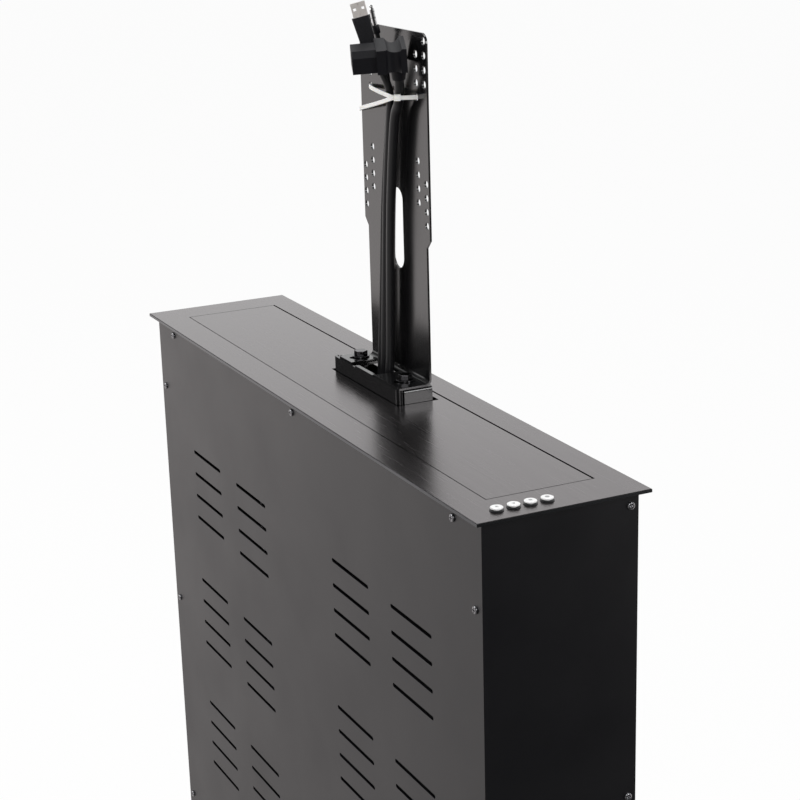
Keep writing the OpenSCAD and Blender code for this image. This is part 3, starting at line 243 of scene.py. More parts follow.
# %% [markdown]
# ## Sky in the gloss
# A world shader stands for the walls of the studio. Shiny surfaces see a bright wall behind the case on the
# left, which fades upward, and a pale band low over the paper on the left. A picture of a real studio
# could be wrapped round the scene, but a few ramps over the direction say more plainly what is bright.

# %% Sky as shiny surfaces see it
SKY_DARK = 0.08
SKY_BRIGHT = 1.17
BRIGHT_SIDE = (-0.6, 0.77, 0.2)
BRIGHT_FACING = (0.3, 0.85)
WALL_FADES_AT = (0.22, 0.4)
WALL_FADED = 0.77
HORIZON = (0.05, 0.2)
BAND_LEFTWARD = (0, -0.5)

sky = bpy.data.worlds.new("studio_sky")
sky.use_nodes = True
sky.node_tree.nodes.clear()
tree = sky.node_tree
ray = add(tree, "LightPath").outputs
direction = add(tree, "TexCoord").outputs["Generated"]
facing = add(tree, "VectorMath", {
    0: direction, 1: BRIGHT_SIDE,
}, operation="DOT_PRODUCT").outputs["Value"]
bright = add(tree, "MapRange", {
    "Value": facing, "From Min": BRIGHT_FACING[0], "From Max": BRIGHT_FACING[1],
    "To Min": SKY_DARK, "To Max": SKY_BRIGHT,
}, interpolation_type="SMOOTHSTEP").outputs["Result"]
along = add(tree, "SeparateXYZ", {"Vector": direction}).outputs
fade = add(tree, "MapRange", {
    "Value": along["Z"], "From Min": WALL_FADES_AT[0], "From Max": WALL_FADES_AT[1],
    "To Min": 1, "To Max": WALL_FADED,
}).outputs["Result"]
wall = add(tree, "Math", {0: bright, 1: fade}, operation="MULTIPLY").outputs[0]
near_ground = add(tree, "MapRange", {
    "Value": along["Z"], "From Min": HORIZON[0], "From Max": HORIZON[1], "To Min": 1, "To Max": 0,
}, interpolation_type="SMOOTHSTEP").outputs["Result"]
leftward = add(tree, "MapRange", {
    "Value": along["X"], "From Min": BAND_LEFTWARD[0], "From Max": BAND_LEFTWARD[1],
}).outputs["Result"]
low_band = add(tree, "Math", {0: near_ground, 1: leftward}, operation="MULTIPLY").outputs[0]
gloss = add(tree, "Math", {0: wall, 1: low_band}, operation="MAXIMUM").outputs[0]
print("sky in the gloss, from dark to bright:", SKY_DARK, SKY_BRIGHT)

# %% [markdown]
# ## Sky for every ray
# Matt surfaces get one even level from the sky, which fills the shadows softly. To the camera it is plain
# white, so the paper has no visible end. Two Mix Shader nodes choose between the three skies.

# %% Sky
SKY_FOR_DIFFUSE = 0.42

even_sky, shiny_sky, plain_sky = (
    add(tree, "Background", {"Color": linear("#ffffff"), "Strength": strength}).outputs[0]
    for strength in (SKY_FOR_DIFFUSE, gloss, 1)
)
indirect = add(tree, "MixShader", {"Fac": ray["Is Glossy Ray"], 1: even_sky, 2: shiny_sky}).outputs[0]
direct = add(tree, "Math", {
    0: ray["Is Camera Ray"], 1: ray["Is Transmission Ray"],
}, operation="MAXIMUM").outputs[0]
surface = add(tree, "MixShader", {"Fac": direct, 1: indirect, 2: plain_sky}).outputs[0]
add(tree, "OutputWorld", {"Surface": surface})
bpy.context.scene.world = sky
print("sky nodes:", len(tree.nodes))

# %% [markdown]
# ## Soft lamps
# Four square softboxes, as a product photographer sets them: a large key from the front left, one overhead,
# and two small ones on the right that pick out the edges. Spot lamps would be quicker to render, but only
# large lamps give soft shadows. Each is aimed at the middle of the top frame.

# %% Soft lamps
# Place in metres, width in metres, power in watts
LAMPS = {
    "key_softbox": ((-1.3, -1.9, 2.3), 1.5, 30),
    "top_softbox": ((0.1, 0.2, 2.9), 1.6, 22),
    "rim_softbox": ((1.93, 0.93, 1.32), 0.7, 9),
    "fill_softbox": ((1.75, -1.05, 1.6), 0.7, 9),
}
for name, (stand, width, watts) in LAMPS.items():
    lamp = bpy.data.objects.new(name, bpy.data.lights.new(name, "AREA"))
    lamp.data.size = width
    lamp.data.energy = watts
    lamp.location = stand
    lamp.rotation_mode = "QUATERNION"
    lamp.rotation_quaternion = (Vector((0, 0, top_z)) - lamp.location).to_track_quat("-Z", "Y")
    bpy.context.scene.collection.objects.link(lamp)
    print(name, watts, "W")

# %% [markdown]
# ## Brushed black anodised aluminium
# The top frame and the cover panel are aluminium sheet, brushed along its length and then anodised
# black. The oxide film is thin, so the sheet stays a dark metal: grey where it mirrors the paper at a
# low angle, dark where it faces the lens. Brush lines are about 0.15 mm apart, too fine to show here,
# so they are drawn 0.7 mm apart and 60 mm long, in the colour, the roughness and the bump. The saw-cut
# edges get a darker tone of painted shade, which keeps the gap round the cover dark and the frame's rim
# greyer than its face. The upward part of the normal tells face from edge.
# Anisotropic gloss is another way to draw brushing. Stretched noise was chosen because its lines also show
# where the sheet mirrors something dark.

# %% Brushed black anodised aluminium
LINE_MM = 0.7
LINE_LENGTH_MM = 60
LINE_RELIEF_MM = 0.03
BRUSHED_TONES = ("#635f60", "#827e7f")
BRUSHED_BLUR = (0.18, 0.32)
FACE_NORMAL_Z = (0.5, 0.9)


def brushed_sheet(name, painted_edge_shade):
    """Aluminium brushed along X and dyed black, with painted shade on its cut edges."""
    tree = new_material(name)
    where = add(tree, "TexCoord").outputs["Object"]
    along_x = add(tree, "Mapping", {
        "Vector": where, "Scale": (per_mm(LINE_LENGTH_MM), per_mm(LINE_MM), per_mm(LINE_MM)),
    }).outputs[0]
    lines = add(tree, "TexNoise", {
        "Vector": along_x, "Scale": 1, "Detail": 4, "Roughness": 0.65,
    }).outputs[0]
    brushed = add(tree, "Mix", {
        "Factor": lines, "A": linear(BRUSHED_TONES[0]), "B": linear(BRUSHED_TONES[1]),
    }, data_type="RGBA").outputs["Result"]
    normal = add(tree, "NewGeometry").outputs["Normal"]
    upward = add(tree, "SeparateXYZ", {"Vector": normal}).outputs["Z"]
    face = add(tree, "MapRange", {
        "Value": upward, "From Min": FACE_NORMAL_Z[0], "From Max": FACE_NORMAL_Z[1],
    }).outputs["Result"]
    # Faces that don't look up get the painted edge shade in place of the brushed tone.
    tone = add(tree, "Mix", {
        "Factor": face, "A": linear(painted_edge_shade), "B": brushed,
    }, data_type="RGBA").outputs["Result"]
    blur = add(tree, "MapRange", {
        "Value": lines, "To Min": BRUSHED_BLUR[0], "To Max": BRUSHED_BLUR[1],
    }).outputs["Result"]
    relief = add(tree, "Bump", {
        "Height": lines, "Strength": 0.35, "Distance": LINE_RELIEF_MM * MM,
    }).outputs[0]
    shader = add(tree, "BsdfPrincipled", {
        "Base Color": tone, "Metallic": 1, "Roughness": blur, "Normal": relief,
    }).outputs[0]
    add(tree, "OutputMaterial", {"Surface": shader})


# The edge tones are painted shade: grey on the frame's rim, near black on the cover's edges, so the gap
# round the cover reads dark.
brushed_sheet("brushed_black_anodised_aluminium", "#5a5c5f")
brushed_sheet("brushed_black_anodised_cover", "#161617")
print("brushed sheets with lines every", LINE_MM, "mm")

# %% [markdown]
# ## Satin black powder coat
# The case panels, the foot and the monitor bracket are sheet steel with a baked black powder coat. The
# powder melts into a skin with a faint orange-peel relief about a millimetre across. It is a dielectric
# over black pigment, so its greys come from what it mirrors at a low angle. The bracket's finer powder
# is glossier, and the frames inside the case have only a matt primer. The peel is a bump, because a relief
# of hundredths of a millimetre would need a very fine mesh.

# %% Satin black powder coat
PEEL_MM = 1.1
PEEL_RELIEF_MM = 0.02
CLOUD_MM = 70
CLOUD_SPAN = (0.3, 0.7)
GLOSS_SPREAD = 0.03
# Dark and pale tone, roughness, IOR of the resin
COATS = {
    "satin_black_powder_coat": ("#0a0a0e", "#0f0f13", 0.34, 1.5),
    "fine_black_powder_coat": ("#0c0c0d", "#111112", 0.18, 1.8),
    "plain_black_primer": ("#2e2d2f", "#39383a", 0.55, 1.5),
}


def powder_coat(name, dark, pale, satin, resin):
    """A baked coat between two near tones, with orange peel and slow changes of gloss."""
    tree = new_material(name)
    where = add(tree, "TexCoord").outputs["Object"]
    peel = add(tree, "TexNoise", {"Vector": where, "Scale": per_mm(PEEL_MM), "Detail": 2}).outputs[0]
    cloud = add(tree, "TexNoise", {"Vector": where, "Scale": per_mm(CLOUD_MM), "Detail": 3}).outputs[0]
    tone = add(tree, "Mix", {
        "Factor": cloud, "A": linear(dark), "B": linear(pale),
    }, data_type="RGBA").outputs["Result"]
    blur = add(tree, "MapRange", {
        "Value": cloud, "From Min": CLOUD_SPAN[0], "From Max": CLOUD_SPAN[1],
        "To Min": satin - GLOSS_SPREAD, "To Max": satin + GLOSS_SPREAD,
    }).outputs["Result"]
    relief = add(tree, "Bump", {
        "Height": peel, "Strength": 0.3, "Distance": PEEL_RELIEF_MM * MM,
    }).outputs[0]
    shader = add(tree, "BsdfPrincipled", {
        "Base Color": tone, "Roughness": blur, "IOR": resin, "Normal": relief,
    }).outputs[0]
    add(tree, "OutputMaterial", {"Surface": shader})


for name, recipe in COATS.items():
    powder_coat(name, *recipe)
print("coats:", len(COATS))

# %% [markdown]
# ## Metals of the drive and the fasteners
# Ground rods, zinc-plated sheet, die-cast blocks, bronze bushes, plated screws and blackened bolts are all
# metals, so they share one recipe: metallic 1, a tone that wanders a little, and a roughness that follows
# how the surface was made. The grain size says how: 0.2 mm for grinding, 1.5 mm for casting, 12 mm for the
# spangle of a zinc bath. Each could have a tree of its own, but one table lets them be compared.

# %% Metals
# Dark and pale tone, least and greatest roughness, grain and relief in mm
METALS = {
    "ground_chromed_steel": ("#c2c5c9", "#d6d9dc", 0.12, 0.2, 0.2, 0.002),
    "zinc_plated_steel": ("#8b8e92", "#a3a6aa", 0.28, 0.42, 12, 0.01),
    "die_cast_aluminium": ("#888b8f", "#9a9da1", 0.38, 0.52, 1.5, 0.03),
    "turned_aluminium": ("#b0b3b8", "#c3c6ca", 0.22, 0.32, 0.3, 0.004),
    "sintered_bronze": ("#8f7346", "#a98a58", 0.35, 0.5, 0.4, 0.01),
    "blackened_steel": ("#2b2a2c", "#434245", 0.26, 0.4, 0.6, 0.006),
    "drawn_steel_can": ("#7f8286", "#94979b", 0.26, 0.36, 0.8, 0.004),
    "bright_nickel_plate": ("#cfd0d1", "#e2e2e2", 0.14, 0.22, 0.4, 0.002),
    "black_nickel_plate": ("#8a8a8d", "#a8a8ab", 0.2, 0.32, 0.4, 0.003),
    "tinned_steel": ("#cfc9c5", "#e2ddd9", 0.42, 0.55, 0.4, 0.003),
    "black_oxide_steel": ("#3a393b", "#565557", 0.14, 0.26, 0.6, 0.004),
}


def metal(name, dark, pale, least, greatest, grain_mm, relief_mm):
    """A bare or plated metal between two tones and two roughnesses, with grain of a real size."""
    tree = new_material(name)
    where = add(tree, "TexCoord").outputs["Object"]
    grain = add(tree, "TexNoise", {"Vector": where, "Scale": per_mm(grain_mm), "Detail": 4}).outputs[0]
    tone = add(tree, "Mix", {
        "Factor": grain, "A": linear(dark), "B": linear(pale),
    }, data_type="RGBA").outputs["Result"]
    blur = add(tree, "MapRange", {"Value": grain, "To Min": least, "To Max": greatest}).outputs["Result"]
    relief = add(tree, "Bump", {"Height": grain, "Strength": 0.25, "Distance": relief_mm * MM}).outputs[0]
    shader = add(tree, "BsdfPrincipled", {
        "Base Color": tone, "Metallic": 1, "Roughness": blur, "Normal": relief,
    }).outputs[0]
    add(tree, "OutputMaterial", {"Surface": shader})


for name, recipe in METALS.items():
    metal(name, *recipe)
print("metals:", len(METALS))

# %% [markdown]
# ## Moulded plastics and rubber
# Plugs, boxes and collars are moulded. A steel mould is spark-eroded, so the skin has a fine even grain
# of about 0.3 mm, drawn 0.5 mm so that it shows. Cord jackets are soft PVC pulled through a die, a
# little glossier and almost without grain. The belts are matt rubber. Light goes a little way into the
# pale nylon and acetal. As with the metals, one recipe and a table serve for all of them.

# %% Plastics
BLUR_SPREAD = 0.05
GLOW_DEPTH_MM = (1.2, 1.0, 0.8)
# Dark and pale tone, roughness, grain and relief in mm, share of light that enters, IOR
PLASTICS = {
    "moulded_black_abs": ("#18181a", "#222225", 0.45, 0.5, 0.012, 0, 1.5),
    "moulded_black_pvc": ("#0a0a0f", "#121218", 0.5, 0.5, 0.012, 0, 1.36),
    "extruded_black_pvc": ("#141416", "#1c1c1e", 0.38, 2.0, 0.004, 0, 1.5),
    "black_belt_rubber": ("#161617", "#222223", 0.7, 0.8, 0.02, 0, 1.5),
    "natural_acetal": ("#cfc9b8", "#ddd8ca", 0.35, 0.6, 0.004, 0.1, 1.5),
    "filled_bearing_polymer": ("#b3a887", "#c6bb9c", 0.5, 0.6, 0.01, 0, 1.5),
    "moulded_orange_abs": ("#b5632a", "#c9743a", 0.4, 0.5, 0.008, 0, 1.5),
    "natural_nylon": ("#efeeeb", "#f9f8f6", 0.35, 0.6, 0.006, 0.25, 1.5),
    "grey_pad_print": ("#9c9c9e", "#a6a6a8", 0.5, 0.5, 0.002, 0, 1.5),
    "polished_black_abs": ("#101014", "#18181d", 0.24, 0.5, 0.006, 0, 1.5),
}


def moulded(name, dark, pale, satin, grain_mm, relief_mm, glow_through, resin):
    """A moulded or extruded plastic between two near tones, with an even grain."""
    tree = new_material(name)
    where = add(tree, "TexCoord").outputs["Object"]
    grain = add(tree, "TexNoise", {"Vector": where, "Scale": per_mm(grain_mm), "Detail": 3}).outputs[0]
    tone = add(tree, "Mix", {
        "Factor": grain, "A": linear(dark), "B": linear(pale),
    }, data_type="RGBA").outputs["Result"]
    blur = add(tree, "MapRange", {
        "Value": grain, "To Min": satin - BLUR_SPREAD, "To Max": satin + BLUR_SPREAD,
    }).outputs["Result"]
    relief = add(tree, "Bump", {"Height": grain, "Strength": 0.3, "Distance": relief_mm * MM}).outputs[0]
    shader = add(tree, "BsdfPrincipled", {
        "Base Color": tone, "Roughness": blur, "IOR": resin, "Normal": relief,
        "Subsurface Weight": glow_through, "Subsurface Radius": [depth * MM for depth in GLOW_DEPTH_MM],
        "Subsurface Scale": 1.0,
    }).outputs[0]
    add(tree, "OutputMaterial", {"Surface": shader})


for name, recipe in PLASTICS.items():
    moulded(name, *recipe)
print("plastics:", len(PLASTICS))

# %% [markdown]
# ## Button caps
# A cap is moulded in white ABS. Its disc has a fine satin grain from the mould, and its rolled rim is
# polished. The faces that look up are the disc and the walls are the rim, so the upward part of the
# normal chooses between them. That holds at every pose, because the caps only move straight down. Two
# materials on one mesh would do it too, but then the faces would have to be picked by number.

# %% Button caps
CAP_TONES = ("#ececec", "#f4f4f4")
CAP_GRAIN_MM = 0.5
CAP_RELIEF_MM = 0.004
CAP_BLUR = (0.16, 0.36)
CAP_IOR = 1.5
DISC_NORMAL_Z = (0.3, 0.5)

tree = new_material("moulded_white_abs")
normal = add(tree, "NewGeometry").outputs["Normal"]
upward = add(tree, "SeparateXYZ", {"Vector": normal}).outputs["Z"]
disc = add(tree, "MapRange", {
    "Value": upward, "From Min": DISC_NORMAL_Z[0], "From Max": DISC_NORMAL_Z[1],
}).outputs["Result"]
where = add(tree, "TexCoord").outputs["Object"]
grain = add(tree, "TexNoise", {"Vector": where, "Scale": per_mm(CAP_GRAIN_MM), "Detail": 3}).outputs[0]
tone = add(tree, "Mix", {
    "Factor": grain, "A": linear(CAP_TONES[0]), "B": linear(CAP_TONES[1]),
}, data_type="RGBA").outputs["Result"]
blur = add(tree, "MapRange", {
    "Value": disc, "To Min": CAP_BLUR[0], "To Max": CAP_BLUR[1],
}).outputs["Result"]
relief = add(tree, "Bump", {"Height": grain, "Strength": 0.2, "Distance": CAP_RELIEF_MM * MM}).outputs[0]
shader = add(tree, "BsdfPrincipled", {
    "Base Color": tone, "Roughness": blur, "IOR": CAP_IOR, "Normal": relief,
}).outputs[0]
add(tree, "OutputMaterial", {"Surface": shader})
print("materials so far:", len(materials))

# %% [markdown]
# ## Dressing the construction
# Each construction piece gets its real material. A piece can carry several materials, one for each slot of
# its mesh, but here every piece is made of one thing, so its slots are emptied and filled once.

# %% Materials of the construction pieces
FINISHES = {
    "brushed_black_anodised_aluminium": ["top_frame"],
    "brushed_black_anodised_cover": ["cover_panel"],
    "satin_black_powder_coat": ["front_panel", "rear_panel", "left_side_panel", "right_side_panel"],
    "fine_black_powder_coat": ["monitor_bracket", "foot_channel"],
    "plain_black_primer": ["top_subframe", "rear_posts", "bottom_plate", "carriage_beam", "motor_bracket"],
    "ground_chromed_steel": ["left_guide_rod", "right_guide_rod", "cross_shaft"],
    "zinc_plated_steel": ["left_idler_axle", "right_idler_axle", "cover_brackets"],
    "die_cast_aluminium": [
        "upper_rod_holders", "lower_rod_holders", "left_shaft_stand", "right_shaft_stand",
        "left_bearing_block", "right_bearing_block",
    ],
    "turned_aluminium": [
        "left_drive_pulley", "right_drive_pulley", "left_idler_pulley", "right_idler_pulley",
    ],
    "sintered_bronze": ["shaft_bushes"],
    "blackened_steel": ["left_belt_clamp", "right_belt_clamp"],
    "black_nickel_plate": ["panel_screws"],
    "black_oxide_steel": ["bracket_bolts", "bracket_washers"],
    "drawn_steel_can": ["gear_motor", "motor_pinion"],
    "tinned_steel": ["video_plug_shell"],
    "moulded_white_abs": ["up_button", "down_button", "stop_button", "screen_button"],
    "moulded_black_abs": ["control_box", "control_box_lid", "power_inlet", "button_bodies", "junction_box"],
    "moulded_black_pvc": ["power_connector", "audio_plug"],
    "polished_black_abs": ["video_plug"],
    "extruded_black_pvc": ["power_cord", "video_cord", "audio_cord"],
    "black_belt_rubber": ["left_drive_belt", "right_drive_belt"],
    "natural_acetal": ["shaft_gear"],
    "filled_bearing_polymer": ["left_guide_bush", "right_guide_bush"],
    "moulded_orange_abs": ["limit_sensors"],
    "natural_nylon": ["cable_tie"],
}
for finish, names in FINISHES.items():
    for name in names:
        nodes[name].data.materials.clear()
        nodes[name].data.materials.append(materials[finish])
bare = set(nodes) - {name for names in FINISHES.values() for name in names}
print("pieces without a finish:", sorted(bare))

# %% [markdown]
# ## Softened edges
# Sharp edges never look right under soft light, so each gets a small bevel, as wide as the fold, the file
# stroke or the mould radius that the real edge has. The construction could round them itself, but its
# solids would have many more faces. The imported mesh is split along its edges, so a weld comes first, and
# triangles that lie in one plane are joined. Weighted normals come last: they let the large flat faces set
# the shading, so that no fan of light crosses them from a bevelled corner.

# %% Softened edges
WELD_MM = 0.002
FLAT_ANGLE = math.radians(1)
EDGE_ANGLE = math.radians(32)
EDGE_STEPS = 2
FACE_WEIGHT = 100
EDGES_MM = {
    0.5: ["monitor_bracket", "foot_channel", "video_plug"],
    0.4: ["bracket_bolts"],
    0.3: [
        "front_panel", "rear_panel", "left_side_panel", "right_side_panel", "carriage_beam", "control_box",
    ],
    0.25: ["bracket_washers", "power_inlet"],
    0.12: ["button_bodies", "panel_screws", "video_plug_shell"],
}


def soften(piece, width_mm):
    """A small round on every sharp edge of a piece, and shading that its large faces set."""
    soft = piece.modifiers.new("soft_edges", "BEVEL")
    soft.width = width_mm * MM
    soft.segments = EDGE_STEPS
    soft.limit_method = "ANGLE"
    soft.angle_limit = EDGE_ANGLE
    level_faces = piece.modifiers.new("level_faces", "WEIGHTED_NORMAL")
    level_faces.weight = FACE_WEIGHT
    level_faces.keep_sharp = True


for width_mm, names in EDGES_MM.items():
    for name in names:
        weld = nodes[name].modifiers.new("weld", "WELD")
        weld.merge_threshold = WELD_MM * MM
        whole = nodes[name].modifiers.new("whole_faces", "DECIMATE")
        whole.decimate_type = "DISSOLVE"
        whole.angle_limit = FLAT_ANGLE
        soften(nodes[name], width_mm)
print("softened:", sum(len(names) for names in EDGES_MM.values()))

# %% [markdown]
# ## Cords
# Three cords come up out of the foot. The construction draws each one as a coarse tube. Here it is a
# curve with a round bevel, along the same route, so it stays smooth however near the camera comes. A
# Catmull-Rom curve passes through every point of a route and takes its direction there from the two
# neighbours.

# %% Cords along their routes
ROUTE_STEPS = 8
JACKET_ROUNDNESS = 6
JACKETS_MM = {"power_cord": 7, "video_cord": 5.5, "audio_cord": 3.5}
ROUTES_MM = {
    "power_cord": [
        (9, 18, -38), (9, 18, -8), (12, 19.6, 20), (14, 20.6, 70), (19, 20.8, 140), (28.5, 20.6, 200),
        (37, 20.3, 216), (42.4, 18.7, 228.4), (44.1, 17.4, 238.7), (44.8, 16.9, 242.6),
    ],
    "video_cord": [
        (-1, 19, -38), (-1, 19, -8), (1, 20, 20), (4, 21, 70), (9.5, 21.5, 140), (18.5, 21.5, 200),
        (21.5, 21.3, 220), (20, 17, 234), (16.2, 12, 244), (14.9, 9.8, 250.4), (13.7, 8.1, 258.8),
    ],
    "audio_cord": [
        (-9, 20, -38), (-9, 20, -8), (-8, 21, 20), (-5, 22.5, 70), (1.5, 23, 140), (12.5, 23, 200),
        (14.2, 23.8, 222), (9.4, 24, 240), (6.2, 22.6, 250), (5.4, 21.1, 256.5), (5.5, 19.4, 264.4),
    ],
}


def placed(point_mm):
    """A point given in mm up from the top frame's face, in metres."""
    return Vector(point_mm) * MM + Vector((0, 0, top_z))


def curve_through(points, steps):
    """Points of a Catmull-Rom curve through the given points."""
    ends = [points[0], *points, points[-1]]
    curve = []
    for a, b, c, d in zip(ends, ends[1:], ends[2:], ends[3:]):
        for t in (k / steps for k in range(steps)):
            bend = (2 * a - 5 * b + 4 * c - d) * t ** 2 + (3 * b - a - 3 * c + d) * t ** 3
            curve.append(0.5 * (2 * b + (c - a) * t + bend))
    return curve + [points[-1]]


def link_piece(name, data, finish, body):
    """Puts a mesh or a curve in the scene with a finish, moving with a body."""
    data.materials.append(materials[finish])
    piece = bpy.data.objects.new(name, data)
    bpy.context.scene.collection.objects.link(piece)
    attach(piece, body)
    return piece


for name, route in ROUTES_MM.items():
    points = curve_through([placed(point) for point in route], ROUTE_STEPS)
    jacket = bpy.data.curves.new(name + "_jacket", "CURVE")
    jacket.dimensions = "3D"
    line = jacket.splines.new("POLY")
    line.points.add(len(points) - 1)
    for knot, point in zip(line.points, points):
        knot.co = (*point, 1)
    jacket.bevel_depth = JACKETS_MM[name] / 2 * MM
    jacket.bevel_resolution = JACKET_ROUNDNESS
    jacket.use_fill_caps = True
    cord = link_piece(name + "_jacket", jacket, "extruded_black_pvc", "carriage")
    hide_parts(name)

# %% [markdown]
# ## Turned pieces
# The stereo plug is turned on a lathe, and so is its copy. A profile is drawn as half a section, radius
# and height, and spun about its axis. Stacked cylinders and cones would do, but a profile needs only the
# corners that a turner would mark. The plug stands at one point and is aimed at another.

# %% Lathe
SPIN_STEPS = 32
PLUG_AT_MM = (5.4, 20.6, 259)
PLUG_TO_MM = (5.7, 15.6, 281.7)


def piece_of(work, name, finish, body, rounded=False):
    """Turns worked geometry into a piece. A rounded piece is shaded smooth between its sharp edges."""
    for face in work.faces:
        face.smooth = rounded or face.smooth
    mesh = bpy.data.meshes.new(name)
    work.to_mesh(mesh)
    work.free()
    if rounded:
        mesh.set_sharp_from_angle(angle=EDGE_ANGLE)
    return link_piece(name, mesh, finish, body)


def lathe(name, profile_mm, finish):
    """A piece of the stereo plug, turned from a profile and aimed along the plug."""
    work = bmesh.new()
    rim = [work.verts.new((radius * MM, 0, height * MM)) for radius, height in profile_mm]
    edges = [work.edges.new(pair) for pair in zip(rim, rim[1:])]
    bmesh.ops.spin(
        work, geom=rim + edges, axis=(0, 0, 1), cent=(0, 0, 0), steps=SPIN_STEPS, angle=math.tau,
    )
    bmesh.ops.remove_doubles(work, verts=work.verts, dist=WELD_MM * MM)
    bmesh.ops.recalc_face_normals(work, faces=work.faces)
    start = placed(PLUG_AT_MM)
    aimed = (placed(PLUG_TO_MM) - start).to_track_quat("Z", "Y").to_matrix().to_4x4()
    work.transform(Matrix.Translation(start) @ aimed)
    return piece_of(work, name, finish, "carriage", rounded=True)


print("stereo plug aimed at", [round(x, 4) for x in placed(PLUG_TO_MM)])

# %% [markdown]
# ## Stereo plug
# A bright sleeve stands in a short moulded handle. On the real plug, insulating rings part the contacts.
# They could be stripes in the sleeve's material. Here they are thin discs a few hundredths of a millimetre
# wider than the sleeve, so they show as dark lines on it.

# %% Stereo plug
# Radius and height of each corner of a profile
HANDLE_MM = [(0, 2.4), (2.4, 2.4), (2.65, 2.8), (2.65, 7.9), (2.5, 8.4), (2.2, 8.6), (0, 8.6)]
SLEEVE_MM = [
    (0, 8.4), (1.75, 8.6), (1.75, 20.2), (1.1, 21.2), (1.4, 22), (1.2, 22.6), (0.5, 23.4), (0, 23.5),
]
RING_MM = [(0, 0), (1.79, 0.05), (1.79, 0.45), (0, 0.5)]
RING_HEIGHTS_MM = [13.7, 18.2]

handle = lathe("stereo_plug_handle", HANDLE_MM, "moulded_black_pvc")
sleeve = lathe("stereo_plug_sleeve", SLEEVE_MM, "bright_nickel_plate")
rings = [
    lathe(f"stereo_plug_ring_{n}", [(r, up_mm + h) for r, h in RING_MM], "moulded_black_abs")
    for n, up_mm in enumerate(RING_HEIGHTS_MM)
]
stereo_plug = [handle, sleeve, *rings]
for piece in stereo_plug:
    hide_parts("audio_plug")
print("stereo plug pieces:", len(stereo_plug))

# %% [markdown]
# ## Appliance connector
# The power cord ends in a moulded connector. Its form is in the construction already, so that mesh is
# copied into a new piece that can be worked on, and the copy is welded along its edges. To model it
# afresh would risk a second shape that differs from the first.

# %% Appliance connector
work = bmesh.new()
work.from_mesh(nodes["power_connector"].data)
work.transform(nodes["power_connector"].matrix_world)
bmesh.ops.remove_doubles(work, verts=work.verts, dist=WELD_MM * MM)
connector = piece_of(work, "appliance_connector", "moulded_black_pvc", "carriage")
print("connector faces before the groove:", len(connector.data.polygons))

# %% [markdown]
# ## Finger groove
# The grip has a groove across its back for a finger. It could be pushed into the mesh point by point. A
# round bar and a Boolean give it a true radius in one step. The evaluated result becomes the piece's own
# mesh, so no cutter stays in the scene.

# %% Finger groove
CONNECTOR_MM = (48.4, 21.3, 250.7)
CONNECTOR_TURN = (-11.8, 3, -112.5)
CONNECTOR_EDGE_MM = 0.6
GROOVE_MM = {"radius": 6.2, "along": 8.4, "above": 11.9, "length": 40}
BAR_SIDES = 64


def cut_with(piece, cutter):
    """Takes the cutter's volume out of a piece for good, and removes the cutter."""
    cut = piece.modifiers.new("cut", "BOOLEAN")
    cut.object = cutter
    cut.solver = "EXACT"
    bpy.context.view_layer.update()
    shaped = bpy.data.meshes.new_from_object(piece.evaluated_get(bpy.context.evaluated_depsgraph_get()))
    piece.modifiers.remove(cut)
    piece.data = shaped
    bpy.data.objects.remove(cutter)


turns = [Matrix.Rotation(math.radians(angle), 4, axis) for angle, axis in zip(CONNECTOR_TURN, "XYZ")]
pose = Matrix.Translation(placed(CONNECTOR_MM)) @ turns[2] @ turns[1] @ turns[0]
work = bmesh.new()
bmesh.ops.create_cone(
    work, cap_ends=True, segments=BAR_SIDES, radius1=GROOVE_MM["radius"] * MM,
    radius2=GROOVE_MM["radius"] * MM, depth=GROOVE_MM["length"] * MM,
)
work.transform(
    pose @ Matrix.Translation((GROOVE_MM["along"] * MM, 0, GROOVE_MM["above"] * MM))
    @ Matrix.Rotation(math.radians(90), 4, "X")
)
bar_mesh = bpy.data.meshes.new("groove_bar")
work.to_mesh(bar_mesh)
work.free()
bar = bpy.data.objects.new("groove_bar", bar_mesh)
bpy.context.scene.collection.objects.link(bar)
cut_with(connector, bar)
soften(connector, CONNECTOR_EDGE_MM)
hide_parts("power_connector")
print("connector faces with the groove:", len(connector.data.polygons))

# %% [markdown]
# ## Strap of the cable tie
# A nylon strap holds the cords to the bracket. It is a flat band, so its section is a small rectangle
# that keeps its long side upright while it follows a smooth curve round the cords and through two of the
# bracket's holes. A bevelled curve, as for the cords, would twist the flat section, so the sections are
# placed one by one and joined by faces. The loop closes on itself. The tail slants down to the bracket's
# edge and ends behind it.

# %% Strap of the cable tie
TIE_UP_MM = 220.3
STRAP_MM = (3.1, 1.1)
STRAP_STEPS = 6
LOOP_MM = [
    (11, 30.9), (40, 30.9), (47.4, 30.8), (48.9, 29.3), (48.4, 25.8), (46.2, 20.6), (43.8, 16.2),
    (41, 14.7), (36.5, 15), (28, 16.2), (21.5, 17.1), (6, 19.6), (-12, 23), (-23, 26.2), (-26.1, 29),
    (-24.6, 30.8), (-17, 30.9), (11, 30.9),
]
TAIL_MM = [
    (44.2, 13.4, 0.5), (38, 14, -1), (20, 16.6, -5.2), (0, 19.8, -9.6), (-36, 25.2, -17.2),
    (-43, 27, -18.8), (-44.3, 29, -19), (-42.6, 30.8, -19), (-32, 30.9, -18),
]


def rectangle(wide, tall):
    """The four corners of a rectangle of this size about its middle, in order."""
    return [(a * wide / 2, b * tall / 2) for a, b in ((1, 1), (-1, 1), (-1, -1), (1, -1))]


def skin(work, sections, closed=False):
    """Faces between neighbouring sections, and over both ends unless the row closes on itself."""
    for one, two in zip(sections, sections[1:] + sections[:1] if closed else sections[1:]):
        for k in range(4):
            work.faces.new((one[k], two[k], two[(k + 1) % 4], one[(k + 1) % 4]))
    if not closed:
        work.faces.new(sections[0])
        work.faces.new(reversed(sections[-1]))
    bmesh.ops.recalc_face_normals(work, faces=work.faces)


